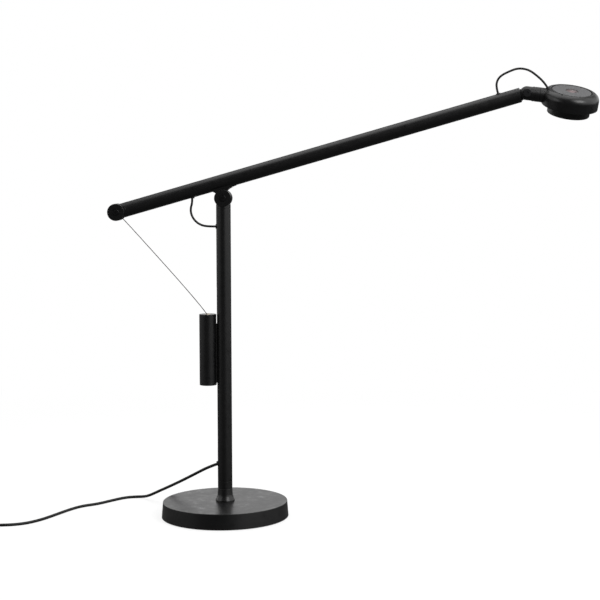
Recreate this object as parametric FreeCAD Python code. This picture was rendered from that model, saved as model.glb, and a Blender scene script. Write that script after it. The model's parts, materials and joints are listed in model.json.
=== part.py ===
import FreeCAD, Part
import math
import os
from FreeCAD import Placement, Rotation, Vector

# A desk lamp whose long arm is held up by a weight that slides on the stem.
# A thin wire runs from the arm's tail to the weight, so the weight climbs as
# the head comes down.  Millimetres, +Z up.  The origin is on the stem's axis,
# where the base stands on the table.  +X points from the stem towards the head.

# ---- driving dimensions ----------------------------------------------------

# tubes of the stem and the arm
tube_d = 20.0
tube_wall = 1.5
soft_edge = 0.6             # broken edges of turned pieces
fit_gap = 0.02              # radial gap of pieces that are pressed together
run_gap = 0.05              # radial gap of a shaft that turns in its bore
side_gap = 0.05             # gap on each side of a friction washer
washer_t = 0.5

# base
base_d = 175.0              # at the lower rim
base_taper = 1.7            # the side leans in by this much
base_h = 22.0
rim_lift = 1.0              # the cover's rim stands off the table
cover_wall = 2.0
pad_t = 2.5
pad_inset = 3.0
weight_disc_gap = 0.3
base_screw_inset = 27.5     # from the rim to a screw
base_screw_d = 5.0
base_screw_count = 3

# foot, where the stem turns on the base
foot_d = 26.2
foot_h = 17.0
foot_lip = 1.6
seam_h = 0.6                # the dark line that holds the thrust washer
collar_h = 10.5
collar_groove = 0.5
spigot_d = 14.0
spigot_bore = 8.0
spigot_sleeve_h = 16.0      # the collar's sleeve inside the stem tube
clip_t = 1.0
nut_flats = 22.0
nut_t = 5.0
nut_washer_t = 0.8
nut_recess_d = 32.0

# stem
pivot_h = 440.4             # arm pivot above the table
slot_w = 5.0
cord_hole_h = 73.2
cord_drop = 20.0            # the cord's hole points this far below level
loop_hole_below = 38.8      # the loop's hole below the pivot

# round two-cheeked hinge plugs at the stem's top and the arm's tail
hub_d = 23.5
hub_face = 10.6             # half the width over the cheeks
hub_slot_w = 8.4
plug_collar = 5.8           # the collar that shows between tube and cheeks
hinge_offset = 8.2          # from the collar's end to the hinge axis
plug_insert = 20.0
axle_d = 6.0
cap_screw_d = 9.0           # screw head in the middle of a cheek
cap_screw_h = 1.2
cap_socket_d = 2.6
stub_d = 5.0

# arm
arm_angle = 16.0            # above level, as it stands
arm_rise = 22.2             # arm axis from the pivot
tail_reach = 146.2          # pivot to tail hub along the arm
head_reach = 437.1          # pivot to head hinge along the arm
arm_lower_hole = -41.0      # the lower cable hole, measured along the arm
arm_hole_before = 37.4      # the upper cable hole before the head hinge
lower_hole_lean = 16.0      # it points straight down as the arm stands
saddle_eye_d = 16.0
saddle_toe = 22.0           # how far the saddle runs ahead of the pivot
saddle_heel = 10.4
saddle_w = 14.0
saddle_tongue_w = 7.2
saddle_screw_d = 4.0

# counterweight and its runner in the stem
weight_d = 23.4
weight_h = 98.0
weight_low = 183.0          # its lower end above the table
weight_gap = 0.8            # between weight and stem
end_cap_h = 3.0
chamfer = 0.8
runner_clear = 0.25
rail_neck_w = 4.4
rail_head_w = 8.2
rail_head_t = 2.2
rail_reach = 4.8            # how deep the rail enters the weight
rail_play = 0.2
rail_top_below = 13.0       # the rail ends this far below the weight's top
weight_drop = 90.0          # travel down and up from where it stands
weight_climb = 49.0
anchor_d = 8.0
anchor_h = 9.0
nipple_d = 3.0
nipple_w = 5.0
nipple_depth = 2.0          # its axis below the weight's top
wire_d = 1.1
wire_short = 4.4            # the wire's end stops short of the hub's middle

# head hinge and neck
head_eye_d = 15.0
head_tongue_w = 6.6
head_pin_d = 5.0
pin_head_d = 11.2
pin_head_h = 1.4
neck_tilt = 7.0             # below level, as it stands
neck_swing = 62.0           # each way from there
neck_slot_w = 7.8
throat_clear = 0.4          # round the eye, at the end of the fork's slot
cheek_r = 9.3               # round end of the fork's cheeks
cheek_clear = 0.35
neck_len = 17.1             # hinge axis to the swivel seam
neck_groove_at = 10.8
neck_groove_w = 0.9
swivel_gap = 0.3
swivel_shaft_d = 9.6
swivel_clip_t = 1.0

# head
head_roll = 19.0            # turned about the neck, towards the viewer
head_at = 60.0              # hinge axis to the head's middle
head_d = 77.0
head_half_h = 11.0
shoulder_r = 10.0
head_wall = 2.0
plate_d = 54.0
plate_gap = 1.1
plate_t = 1.5
plate_recess = 0.2
ledge_w = 4.0
button_d = 17.0
button_gap = 0.25
button_dish = 1.4
button_recess = 0.6
button_travel = 1.0
button_lip = 1.6
plunger_d = 3.6
switch_w = 6.4
switch_h = 2.2
board_d = 44.0
board_t = 1.6
sink_t = 4.0
post_d = 5.0
ring_d = 58.0
ring_low = 22.0             # the ring's lower edge below the neck axis
ring_wall = 2.0
ring_flange_t = 1.5
diffuser_t = 2.0
entry_place = 65.0          # where round the shoulder the cable enters the head
entry_lean = 55.0           # and how steeply

# cables
cable_d = 3.0
cable_bend = 12.0           # inside the tubes
cord_d = 4.0
grommet_lip = 0.7
grommet_wall = 0.9
coil_turn_d = 47.0          # mean diameter of the coil's turns
coil_pitch = 5.4
coil_layer = 4.7
coil_spiral_turns = 2.25
coil_layers = 4
coil_last_turns = 2.0
coil_at = (-352.0, -33.5)
tie_t = 0.8
tie_w = 6.0
tie_slack = 0.4
plug_size = (34.0, 50.0, 26.0)
plug_round = 4.0
pin_d = 4.0
pin_len = 19.0
pin_spread = 19.0
relief_len = 22.0

# ---- worked out from them --------------------------------------------------

tube_r = tube_d / 2
bore_r = tube_r - tube_wall
base_r = base_d / 2
base_top_r = base_r - base_taper
foot_top = base_h + foot_h
collar_low = foot_top + seam_h
stem_low = collar_low + collar_h
cord_way = Vector(-math.cos(math.radians(cord_drop)), 0, -math.sin(math.radians(cord_drop)))
cord_exit = Vector(-tube_r, 0, cord_hole_h)
stem_high = pivot_h - hinge_offset - plug_collar
loop_hole_h = pivot_h - loop_hole_below
arm_upper_hole = head_reach - arm_hole_before
hub_r = hub_d / 2
slot_half = hub_slot_w / 2
pivot = Vector(0, 0, pivot_h)
tail_at = -tail_reach
tube_tail = tail_at + hinge_offset + plug_collar
tube_nose = head_reach - hinge_offset - plug_collar
weight_x = -(tube_r + weight_gap + weight_d / 2)
weight_top = weight_low + weight_h
rail_low = weight_low + end_cap_h + rail_play
rail_high = weight_top - rail_top_below
nipple_at = Vector(weight_x, 0, weight_top - nipple_depth)
slot_low = rail_low - weight_drop - slot_w / 2
slot_high = rail_high + weight_climb + slot_w / 2
head_r = head_d / 2
ring_r = ring_d / 2
ring_seat = -head_half_h + head_wall
plate_low = head_half_h - plate_recess - plate_t
fork_throat = head_eye_d / 2 + throat_clear
shoulder_reach = math.sqrt(shoulder_r ** 2 - (tube_r - head_half_h + shoulder_r) ** 2)
boss_start = neck_len + swivel_gap
boss_end = head_at - head_r + shoulder_r - shoulder_reach + 0.4
clip_at = boss_end - swivel_clip_t - 1.9

# the arm's, the neck's and the head's own frames, +X along each
arm_turn = Rotation(Vector(0, 1, 0), -arm_angle)
arm_frame = Placement(pivot + arm_turn.multVec(Vector(0, 0, arm_rise)), arm_turn)
head_hinge = arm_frame.multVec(Vector(head_reach, 0, 0))
tail_hub = arm_frame.multVec(Vector(tail_at, 0, 0))
neck_turn = Rotation(Vector(0, 1, 0), neck_tilt)
neck_frame = Placement(head_hinge, neck_turn)
head_frame = Placement(head_hinge, neck_turn.multiply(Rotation(Vector(1, 0, 0), head_roll)))
head_middle = Vector(head_at, 0, 0)

X, Y, Z = Vector(1, 0, 0), Vector(0, 1, 0), Vector(0, 0, 1)
pieces = {}


# ---- ways of making a piece ------------------------------------------------

def rod(d, length, start, way=Z):
    """A round bar from start along way."""
    return Part.makeCylinder(d / 2, length, start, way)


def ring(d, hole_d, length, start, way=Z):
    return rod(d, length, start, way).cut(rod(hole_d, length + 2, start - way, way))


def cross_rod(d, width, at):
    """A round bar along Y, centred on at."""
    return rod(d, width, at - Y * (width / 2), Y)


def block(x, y, z):
    """A box from three (low, high) pairs."""
    low = Vector(x[0], y[0], z[0])
    return Part.makeBox(x[1] - x[0], y[1] - y[0], z[1] - z[0], low)


def bent_path(points, radii, closed=False):
    """Straight runs through the points, joined by tangent arcs of the radii."""
    count = len(points)
    corners = range(count) if closed else range(1, count - 1)
    ends = {}
    edges = []
    for k in range(count):
        here = points[k]
        if k not in corners or radii[k] <= 0:
            ends[k] = (here, None, here)
            continue
        back = (points[k - 1] - here).normalize()
        ahead = (points[(k + 1) % count] - here).normalize()
        half = back.getAngle(ahead) / 2
        reach = radii[k] / math.tan(half)
        inward = (back + ahead).normalize()
        middle = here + inward * (radii[k] / math.sin(half) - radii[k])
        ends[k] = (here + back * reach, middle, here + ahead * reach)
    for k in range(count if closed else count - 1):
        start, stop = ends[k][2], ends[(k + 1) % count][0]
        if ends[k][1] is not None:
            edges.append(Part.Arc(*ends[k]).toShape())
        if (stop - start).Length > 1e-6:
            edges.append(Part.LineSegment(start, stop).toShape())
    return Part.Wire(edges)


def outline(corners, lift):
    """A closed outline of (a, b, corner radius), laid out by lift(a, b)."""
    points = [lift(a, b) for a, b, r in corners]
    return Part.Face(bent_path(points, [r for a, b, r in corners], closed=True))


def turned(corners, axis_at=Vector(0, 0, 0), way=Z):
    """A piece turned about way from (radius, height, corner radius) corners."""
    face = outline(corners, lambda r, h: Vector(r, 0, h))
    solid = face.revolve(Vector(0, 0, 0), Z, 360)
    solid.Placement = Placement(axis_at, Rotation(Z, way))
    return solid


def plate(corners, width):
    """A flat piece of an (x, z, corner radius) outline, centred across Y."""
    face = outline(corners, lambda x, z: Vector(x, -width / 2, z))
    return face.extrude(Y * width)


def set_in(frame, shape):
    """The shape carried from a frame of its own into the lamp's frame."""
    moved = shape.copy()
    moved.Placement = frame.multiply(moved.Placement)
    return moved


def swept(path, d):
    """A round bar along a path."""
    first = path.OrderedEdges[0]
    start = first.valueAt(first.FirstParameter)
    way = first.tangentAt(first.FirstParameter)
    section = Part.Wire([Part.makeCircle(d / 2, start, way)])
    return path.makePipeShell([section], True, False)


def route_radii(points):
    """For each corner, 0.45 of its shorter run over the tangent of half its turn."""
    radii = [0.0] * len(points)
    for k in range(1, len(points) - 1):
        back, ahead = points[k] - points[k - 1], points[k + 1] - points[k]
        turn = back.getAngle(ahead)
        radii[k] = 0.45 * min(back.Length, ahead.Length) / math.tan(turn / 2)
    return radii


def cable(name, points, d, bend=None):
    """A cable along the points, with its radii and volume printed.  Its arcs
    take 0.45 of the runs, or the given bend radius."""
    radii = route_radii(points) if bend is None else [bend] * len(points)
    path = bent_path(points, radii)
    solid = swept(path, d)
    section = math.pi * d * d / 4 * path.Length
    shown = ", ".join("%.1f" % r for r in radii[1:-1])
    print("%s: length %.1f, radii %s, volume/section %.4f"
          % (name, path.Length, shown, solid.Volume / section))
    return solid


def grommet(at, way, d, surface):
    """A rubber ring in a hole of a wall: at is on the wall's outside."""
    lip_d = d + 2 * grommet_wall + 1.6
    lip = rod(lip_d, grommet_lip + 1.0, at - way * 1.0, way).cut(surface)
    barrel_len = tube_wall + 0.6
    barrel = rod(d + 2 * grommet_wall, barrel_len + 0.2, at - way * barrel_len, way)
    bore = rod(d + 2 * fit_gap, 12, at - way * 6, way)
    return lip.fuse(barrel).cut(bore).removeSplitter()


def grommet_hole(at, way, d):
    return rod(d + 2 * grommet_wall + 2 * fit_gap, 10, at - way * 6, way)


# ---- base ------------------------------------------------------------------

def make_base():
    inner_top = base_top_r - cover_wall
    inner_low = base_r - cover_wall
    ceiling = base_h - cover_wall
    cover = turned([
        (0, base_h, 0), (base_top_r, base_h, soft_edge), (base_r, rim_lift, soft_edge / 2),
        (inner_low, rim_lift, 0), (inner_top, ceiling, 0.5), (0, ceiling, 0)])
    stud_hole = rod(spigot_d + 2 * fit_gap, base_h + 2, Vector(0, 0, -1))
    pieces["base_cover"] = cover.cut(stud_hole)

    disc_low = pad_t
    disc_high = ceiling - 0.1
    disc_r = inner_top - weight_disc_gap
    disc = turned([
        (0, disc_high, 0), (disc_r, disc_high, 1.0), (disc_r, disc_low, 1.0), (0, disc_low, 0)])
    recess_top = disc_low + nut_t + nut_washer_t + 1.2
    recess = rod(nut_recess_d, recess_top, Vector(0, 0, 0))
    screws, holes, taps = [], [], []
    for k in range(base_screw_count):
        turn = math.radians(90 + 360 / base_screw_count * k)
        at = Vector(math.cos(turn), math.sin(turn), 0) * (base_r - base_screw_inset)
        head_low = disc_low + 0.4
        head_h = 3.0
        tip = ceiling + 0.9
        screws.append(
            rod(base_screw_d * 1.8, head_h, at + Z * head_low)
            .fuse(rod(base_screw_d, tip - head_low, at + Z * head_low))
            .cut(rod(base_screw_d * 0.5, 2.0, at + Z * (head_low - 0.5))))
        holes.append(rod(base_screw_d * 1.8 + 0.4, head_h + head_low + 0.02, at))
        holes.append(rod(base_screw_d + 0.1, base_h - cover_wall + 1.0, at))
        taps.append(rod(base_screw_d + 0.04, 1.0, at + Z * (ceiling - 0.05)))
    pieces["base_weight"] = disc.cut(stud_hole).cut(recess).cut(Part.makeCompound(holes))
    pieces["base_screws"] = Part.makeCompound(screws)
    pieces["base_cover"] = pieces["base_cover"].cut(Part.makeCompound(taps))

    pad_r = inner_low - pad_inset
    pieces["base_pad"] = turned([(0, pad_t, 0), (pad_r, pad_t, 0), (pad_r, 0, 0.5), (0, 0, 0)])
    return recess_top


def make_foot(recess_top):
    cone = turned([
        (spigot_d / 2 + fit_gap, foot_top, 0), (tube_r, foot_top, 0.3),
        (tube_r + 0.5, base_h + foot_h * 0.45, 12), (foot_d / 2, base_h + foot_lip, 0.6),
        (foot_d / 2, base_h, 0), (spigot_d / 2 + fit_gap, base_h, 0)])
    pieces["foot_cone"] = cone

    sleeve_top = stem_low + spigot_sleeve_h
    clip_low = sleeve_top + 0.2
    spigot_top = clip_low + clip_t + 2.0
    spigot_low = pad_t + 0.5
    spigot = ring(spigot_d, spigot_bore, spigot_top - spigot_low, Vector(0, 0, spigot_low))
    clip_groove = ring(spigot_d + 2, spigot_d - 1.6, clip_t + 0.1, Vector(0, 0, clip_low - 0.05))
    pieces["foot_spigot"] = spigot.cut(clip_groove)
    clip = ring(spigot_d + 1.8, spigot_d - 1.5, clip_t, Vector(0, 0, clip_low))
    mouth = block((0, spigot_d), (-2, 2), (clip_low - 1, clip_low + clip_t + 1))
    pieces["swivel_clip"] = clip.cut(mouth)

    washer_low = recess_top - nut_washer_t
    pieces["foot_washer"] = ring(
        nut_recess_d - 4, spigot_d + 0.3, nut_washer_t, Vector(0, 0, washer_low))
    nut_low = washer_low - nut_t
    corners = [Vector(nut_flats / math.sqrt(3) * math.cos(math.radians(60 * k)),
                      nut_flats / math.sqrt(3) * math.sin(math.radians(60 * k)), nut_low)
               for k in range(7)]
    hexagon = Part.Face(Part.makePolygon(corners)).extrude(Z * nut_t)
    pieces["foot_nut"] = hexagon.cut(rod(spigot_d + 2 * fit_gap, nut_t + 2, Vector(0, 0, nut_low - 1)))

    pieces["thrust_washer"] = ring(
        tube_d - 0.8, spigot_d + 2 * run_gap, seam_h - 2 * side_gap, Vector(0, 0, foot_top + side_gap))
    collar = turned([
        (spigot_d / 2 + run_gap, collar_low, 0), (tube_r, collar_low, 0.3),
        (tube_r, stem_low, 0.3), (bore_r - fit_gap, stem_low, 0),
        (bore_r - fit_gap, sleeve_top, 0.4), (spigot_d / 2 + run_gap, sleeve_top, 0)])
    groove_high = ring(tube_d + 2, tube_d - 2 * collar_groove, collar_groove,
                       Vector(0, 0, stem_low - collar_groove))
    pieces["swivel_collar"] = collar.cut(groove_high)


# ---- stem ------------------------------------------------------------------

def make_stem():
    length = stem_high - stem_low
    tube = ring(tube_d, 2 * bore_r, length, Vector(0, 0, stem_low))
    slot_x = (-tube_d, -bore_r / 2)
    half = slot_w / 2
    slot = block(slot_x, (-half, half), (slot_low + half, slot_high - half))
    for end in (slot_low + half, slot_high - half):
        slot = slot.fuse(rod(slot_w, tube_d - bore_r / 2, Vector(slot_x[0], 0, end), X))
    body = rod(tube_d, length, Vector(0, 0, stem_low))
    loop_at = Vector(-tube_r, 0, loop_hole_h)
    holes = grommet_hole(cord_exit, cord_way, cord_d).fuse(grommet_hole(loop_at, -X, cable_d))
    pieces["stem_tube"] = tube.cut(slot.removeSplitter()).cut(holes)
    pieces["cord_bush"] = grommet(cord_exit, cord_way, cord_d, body)
    pieces["stem_grommet"] = grommet(loop_at, -X, cable_d, body)

    deep = bore_r - cable_d / 2 - 0.7
    cord_end = cord_exit + cord_way * grommet_lip
    inner = cable("stem_inner_cable", [
        cord_end, cord_exit + cord_way * ((deep + tube_r) / cord_way.x), Vector(deep, 0, loop_hole_h),
        Vector(-tube_r - grommet_lip, 0, loop_hole_h)], cable_d, cable_bend)
    jacket = rod(cord_d, 4.5, cord_end, -cord_way)
    pieces["stem_inner_cable"] = inner.fuse(jacket).removeSplitter()


def hinge_plug(bore_d):
    """A plug with a collar and two round cheeks.  Its own frame has the hinge
    at the origin and the tube on -X."""
    collar_end = -hinge_offset
    collar_start = collar_end - plug_collar
    insert = turned([
        (0, 0, 0), (bore_r - fit_gap, 0, 0.6), (bore_r - fit_gap, plug_insert, 0), (0, plug_insert, 0)],
        Vector(collar_start - plug_insert, 0, 0), X)
    collar = turned([
        (0, 0, 0), (tube_r, 0, 0.3), (tube_r, plug_collar, 0.5), (0, plug_collar, 0)],
        Vector(collar_start, 0, 0), X)
    web = rod(tube_d, hinge_offset + 0.01, Vector(collar_end - 0.01, 0, 0), X)
    web = web.common(block((collar_end - 1, 1), (-tube_r, tube_r), (-tube_r, tube_r)))
    discs = turned([
        (0, -hub_face, 0), (hub_r, -hub_face, soft_edge), (hub_r, hub_face, soft_edge), (0, hub_face, 0)],
        Vector(0, 0, 0), Y)
    slot = block((collar_end, hub_d), (-slot_half, slot_half), (-hub_d, hub_d))
    recess = cap_screw_h + 0.2
    sinks = [rod(cap_screw_d + 0.6, recess + 1, Vector(0, side * (hub_face - recess), 0), Y * side)
             for side in (-1, 1)]
    bore = cross_rod(bore_d, 4 * hub_face, Vector(0, 0, 0))
    solid = insert.fuse([collar, web, discs]).removeSplitter()
    return solid.cut(slot).cut(Part.makeCompound(sinks)).cut(bore)


def cap_screws(shank_d, shank_end):
    """The two screws in the middle of a plug's cheeks: heads, shanks and sockets."""
    both = []
    floor = hub_face - cap_screw_h - 0.2
    for side in (-1, 1):
        head = turned([
            (0, 0, 0), (cap_screw_d / 2, 0, 0), (cap_screw_d / 2, cap_screw_h, 0.4), (0, cap_screw_h, 0)],
            Vector(0, side * floor, 0), Y * side)
        shank = rod(shank_d, floor - shank_end + 0.1, Vector(0, side * shank_end, 0), Y * side)
        socket = rod(cap_socket_d, 1.0, Vector(0, side * (floor + cap_screw_h - 0.9), 0), Y * side)
        both.append(head.fuse(shank).cut(socket))
    return Part.makeCompound(both)


def make_arm_pivot():
    upright = Placement(pivot, Rotation(Y, -90))
    pieces["stem_top_plug"] = set_in(upright, hinge_plug(axle_d + 2 * fit_gap))
    floor = hub_face - cap_screw_h - 0.2
    axle_len = 2 * (floor - 2.0)
    axle = cross_rod(axle_d, axle_len, pivot)
    tap = cross_rod(3.1, axle_len + 2, pivot)
    pieces["pivot_axle"] = axle.cut(tap)
    pieces["pivot_cap_screws"] = set_in(Placement(pivot, Rotation()), cap_screws(3.0, floor - 6.0))
    half = saddle_tongue_w / 2 + side_gap
    rings = [ring(saddle_eye_d - 1, axle_d + 2 * run_gap, washer_t,
                  pivot + Y * side * half, Y * side) for side in (-1, 1)]
    pieces["pivot_washers"] = Part.makeCompound(rings)


# ---- arm -------------------------------------------------------------------

def make_arm_tube():
    length = tube_nose - tube_tail
    start = Vector(tube_tail, 0, 0)
    tube = ring(tube_d, 2 * bore_r, length, start, X)
    body = rod(tube_d, length, start, X)
    low_at, low_way = arm_lower_exit()
    high_at = Vector(arm_upper_hole, 0, tube_r)
    holes = grommet_hole(low_at, low_way, cable_d).fuse(grommet_hole(high_at, Z, cable_d))
    bolt_holes = [rod(saddle_screw_d + 0.1, tube_d, Vector(x, 0, -2 * tube_r), Z)
                  for x in saddle_bolt_places()]
    tube = tube.cut(holes).cut(Part.makeCompound(bolt_holes))
    pieces["arm_tube"] = set_in(arm_frame, tube)
    both = Part.makeCompound([
        grommet(low_at, low_way, cable_d, body), grommet(high_at, Z, cable_d, body)])
    pieces["arm_grommets"] = set_in(arm_frame, both)
    lay = bore_r - cable_d / 2 - 0.7
    inner = cable("arm_inner_cable", [
        low_at + low_way * grommet_lip, low_at + low_way * ((lay + tube_r) / low_way.z),
        Vector(arm_upper_hole, 0, -lay),
        high_at + Z * grommet_lip], cable_d, cable_bend)
    pieces["arm_inner_cable"] = set_in(arm_frame, inner)


def arm_lower_exit():
    """Where the cable comes out under the arm, in the arm's frame, and the way out."""
    turn = math.radians(lower_hole_lean)
    return Vector(arm_lower_hole, 0, -tube_r), Vector(-math.sin(turn), 0, -math.cos(turn))


def saddle_bolt_places():
    """Along the arm: one bolt through the toe, one above the eye."""
    return (-2.0, saddle_toe - 7.0)


def make_saddle():
    under = -tube_r
    hinge_z = -arm_rise
    eye_r = saddle_eye_d / 2
    web = plate([
        (-eye_r, hinge_z, 0), (eye_r, hinge_z, 0), (eye_r + 0.5, under - 3.0, 3.0),
        (saddle_toe - 4, under + 1.0, 0), (saddle_toe - 4, under + 4.0, 0),
        (-saddle_heel, under + 4.0, 0), (-saddle_heel, under - 0.6, 0.4), (-eye_r, under - 3.0, 2.0)],
        saddle_tongue_w)
    eye = cross_rod(saddle_eye_d, saddle_tongue_w, Vector(0, 0, hinge_z))
    foot = plate([
        (-saddle_heel, under + 4.0, 0), (-saddle_heel, under - 0.6, 0.4), (-hub_r / 2, under - 4.4, 0),
        (hub_r / 2 + 1.4, under - 4.4, 0), (saddle_toe * 0.66, under - 1.0, 20.0),
        (saddle_toe, under - 0.4, 0.3), (saddle_toe, under + 4.0, 0)], saddle_w)
    wheel = cross_rod(hub_d + 0.7, saddle_w + 2, Vector(0, 0, hinge_z))
    wheel = wheel.cut(block((-hub_d, hub_d), (-saddle_tongue_w / 2, saddle_tongue_w / 2), (-2 * hub_d, 0)))
    tube_body = rod(tube_d + 2 * fit_gap, tube_nose - tube_tail, Vector(tube_tail, 0, 0), X)
    bore = cross_rod(axle_d + 2 * run_gap, saddle_w, Vector(0, 0, hinge_z))
    bracket = web.fuse([eye, foot]).removeSplitter().cut(wheel).cut(tube_body).cut(bore)
    taps = [rod(saddle_screw_d + 0.04, 6.0, Vector(x, 0, under - 2.2 if x > 0 else under - 4.5), Z)
            for x in saddle_bolt_places()]
    pieces["saddle_bracket"] = set_in(arm_frame, bracket.cut(Part.makeCompound(taps)))

    plate_low = -bore_r + 0.9
    plate_w = 8.4
    bolts = []
    strip = block((-saddle_heel, saddle_toe - 1), (-plate_w / 2, plate_w / 2), (-tube_r, plate_low))
    strip = strip.common(rod(2 * (bore_r - fit_gap), 60, Vector(-30, 0, 0), X))
    for x in saddle_bolt_places():
        tip = under - 2.0 if x > 0 else under - 4.2
        head = rod(saddle_screw_d * 1.7, 2.2, Vector(x, 0, plate_low))
        shank = rod(saddle_screw_d, plate_low - tip + 0.1, Vector(x, 0, tip))
        socket = rod(saddle_screw_d * 0.6, 1.4, Vector(x, 0, plate_low + 1.0))
        bolts.append(head.fuse(shank).cut(socket))
        strip = strip.cut(rod(saddle_screw_d + 0.1, tube_d, Vector(x, 0, -tube_d)))
    pieces["saddle_strip"] = set_in(arm_frame, strip)
    pieces["saddle_screws"] = set_in(arm_frame, Part.makeCompound(bolts))


def make_tail():
    turned_back = Placement(Vector(tail_at, 0, 0), Rotation(Z, 180))
    frame = arm_frame.multiply(turned_back)
    pieces["tail_plug"] = set_in(frame, hinge_plug(stub_d + 2 * fit_gap))
    pieces["tail_stub_screws"] = set_in(frame, cap_screws(stub_d, slot_half))


def make_head_plug():
    eye_r = head_eye_d / 2
    half = head_tongue_w / 2
    collar_end = head_reach - hinge_offset
    insert = turned([
        (0, 0, 0), (bore_r - fit_gap, 0, 0.6), (bore_r - fit_gap, 15.0, 0), (0, 15.0, 0)],
        Vector(tube_nose - 15.0, 0, 0), X)
    collar = turned([
        (0, 0, 0), (tube_r, 0, 0.3), (tube_r, plug_collar, 0.5), (0, plug_collar, 0)],
        Vector(tube_nose, 0, 0), X)
    sides = cross_rod(2 * (cheek_r + cheek_clear), tube_d + 2, Vector(head_reach, 0, 0))
    sides = sides.fuse(swung_fork(cheek_r / 5))
    scoop = sides.cut(block((0, 2 * head_reach), (-half, half), (-tube_d, tube_d)))
    tongue = block((collar_end - 1, head_reach), (-half, half), (-eye_r, eye_r))
    eye = cross_rod(head_eye_d, head_tongue_w, Vector(head_reach, 0, 0))
    bore = cross_rod(head_pin_d + 2 * run_gap, tube_d, Vector(head_reach, 0, 0))
    throat = swung_fork(fork_throat - cheek_clear)
    solid = insert.fuse(collar).cut(scoop).cut(throat).fuse([tongue, eye]).removeSplitter().cut(bore)
    pieces["head_plug"] = set_in(arm_frame, solid)


def swung_fork(start):
    """The fork's bar from start on, as it hangs at its lowest, in the arm's frame."""
    wide = tube_r + cheek_clear
    bar = block((start, neck_len), (-tube_d, tube_d), (-wide, wide))
    lowest = arm_angle + neck_tilt + neck_swing + 0.5
    bar.Placement = Placement(Vector(head_reach, 0, 0), Rotation(Y, lowest))
    return bar


# ---- counterweight, runner and wire ----------------------------------------

def make_weight():
    half_neck = rail_neck_w / 2
    half_head = rail_head_w / 2
    face_x = weight_x + weight_d / 2
    head_x = face_x - rail_reach
    shoulder_x = head_x + rail_head_t
    axis = Vector(weight_x, 0, 0)

    block_low = weight_low + end_cap_h
    body = turned([
        (0, block_low, 0), (weight_d / 2, block_low, 0.25), (weight_d / 2, weight_top, chamfer / 2),
        (0, weight_top, 0)], axis)
    top = rail_high + rail_play
    play = rail_play
    groove = block((shoulder_x - play, 0), (-half_neck - play, half_neck + play), (weight_low, top)).fuse(
        block((head_x - play, shoulder_x + play), (-half_head - play, half_head + play),
              (weight_low, top)))
    socket = rod(anchor_d + 2 * fit_gap, anchor_h + 1, Vector(weight_x, 0, weight_top - anchor_h))
    tap = rod(4.04, 12.0, Vector(weight_x, 0, block_low - 1))
    pieces["counterweight"] = body.cut(groove).cut(socket).cut(tap)

    cap = turned([
        (0, 0, 0), (weight_d / 2, 0, chamfer), (weight_d / 2, end_cap_h, 0.25), (0, end_cap_h, 0)],
        Vector(weight_x, 0, weight_low))
    head_sink = turned([(0, 0, 0), (4.1, 0, 0), (2.05, 2.1, 0), (2.05, 5, 0), (0, 5, 0)],
                       Vector(weight_x, 0, weight_low))
    pieces["weight_end_cap"] = cap.cut(head_sink)
    screw = turned([(0, 0, 0), (3.9, 0, 0), (2.0, 1.95, 0), (2.0, 10, 0.3), (0, 10, 0)],
                   Vector(weight_x, 0, weight_low + 0.15))
    pieces["weight_cap_screw"] = screw.cut(rod(2.4, 1.3, Vector(weight_x, 0, weight_low - 0.1)))

    height = rail_high - rail_low
    shoe = rod(2 * (bore_r - runner_clear), height, Vector(0, 0, rail_low))
    shoe = shoe.cut(block((3.2, tube_d), (-tube_d, tube_d), (0, pivot_h)))
    hollow = block((-3.6, tube_d), (-3.4, 3.4), (rail_low + 8, rail_high - 8))
    neck = block((shoulder_x - 0.01, -bore_r + 1), (-half_neck, half_neck), (rail_low, rail_high))
    head = block((head_x, shoulder_x), (-half_head, half_head), (rail_low, rail_high))
    pieces["weight_carriage"] = shoe.cut(hollow).fuse([neck, head]).removeSplitter()


def make_wire():
    seat = cross_rod(nipple_d + 2 * run_gap, anchor_d + 2, nipple_at)
    insert = rod(anchor_d, anchor_h, Vector(weight_x, 0, weight_top - anchor_h))
    lean = block((weight_x - anchor_d, weight_x + 0.9), (-0.8, 0.8),
                 (nipple_at.z - 0.4, weight_top + 1))
    pieces["wire_anchor"] = insert.cut(seat).cut(lean)

    along = (tail_hub - nipple_at).normalize()
    top_end = tail_hub - along * wire_short
    low_bend = nipple_at + Vector(-8.5, 0, 13.6)
    high_bend = tail_hub + Vector(12.6, 0, -12.9)
    points = [nipple_at, low_bend, high_bend, top_end]
    radii = route_radii(points)
    radii[1:3] = [min(r, 120.0) for r in radii[1:3]]
    path = bent_path(points, radii)
    pieces["pull_wire"] = swept(path, wire_d)
    print("pull_wire: length %.1f, ends %s %s" % (path.Length, nipple_at, top_end))
    nipples = []
    for at, toward in ((nipple_at, low_bend), (top_end, high_bend)):
        barrel = cross_rod(nipple_d, nipple_w, at)
        drill = rod(wire_d + 2 * fit_gap, nipple_d, at, (toward - at).normalize())
        nipples.append(barrel.cut(drill))
    pieces["wire_nipples"] = Part.makeCompound(nipples)


# ---- neck ------------------------------------------------------------------

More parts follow.
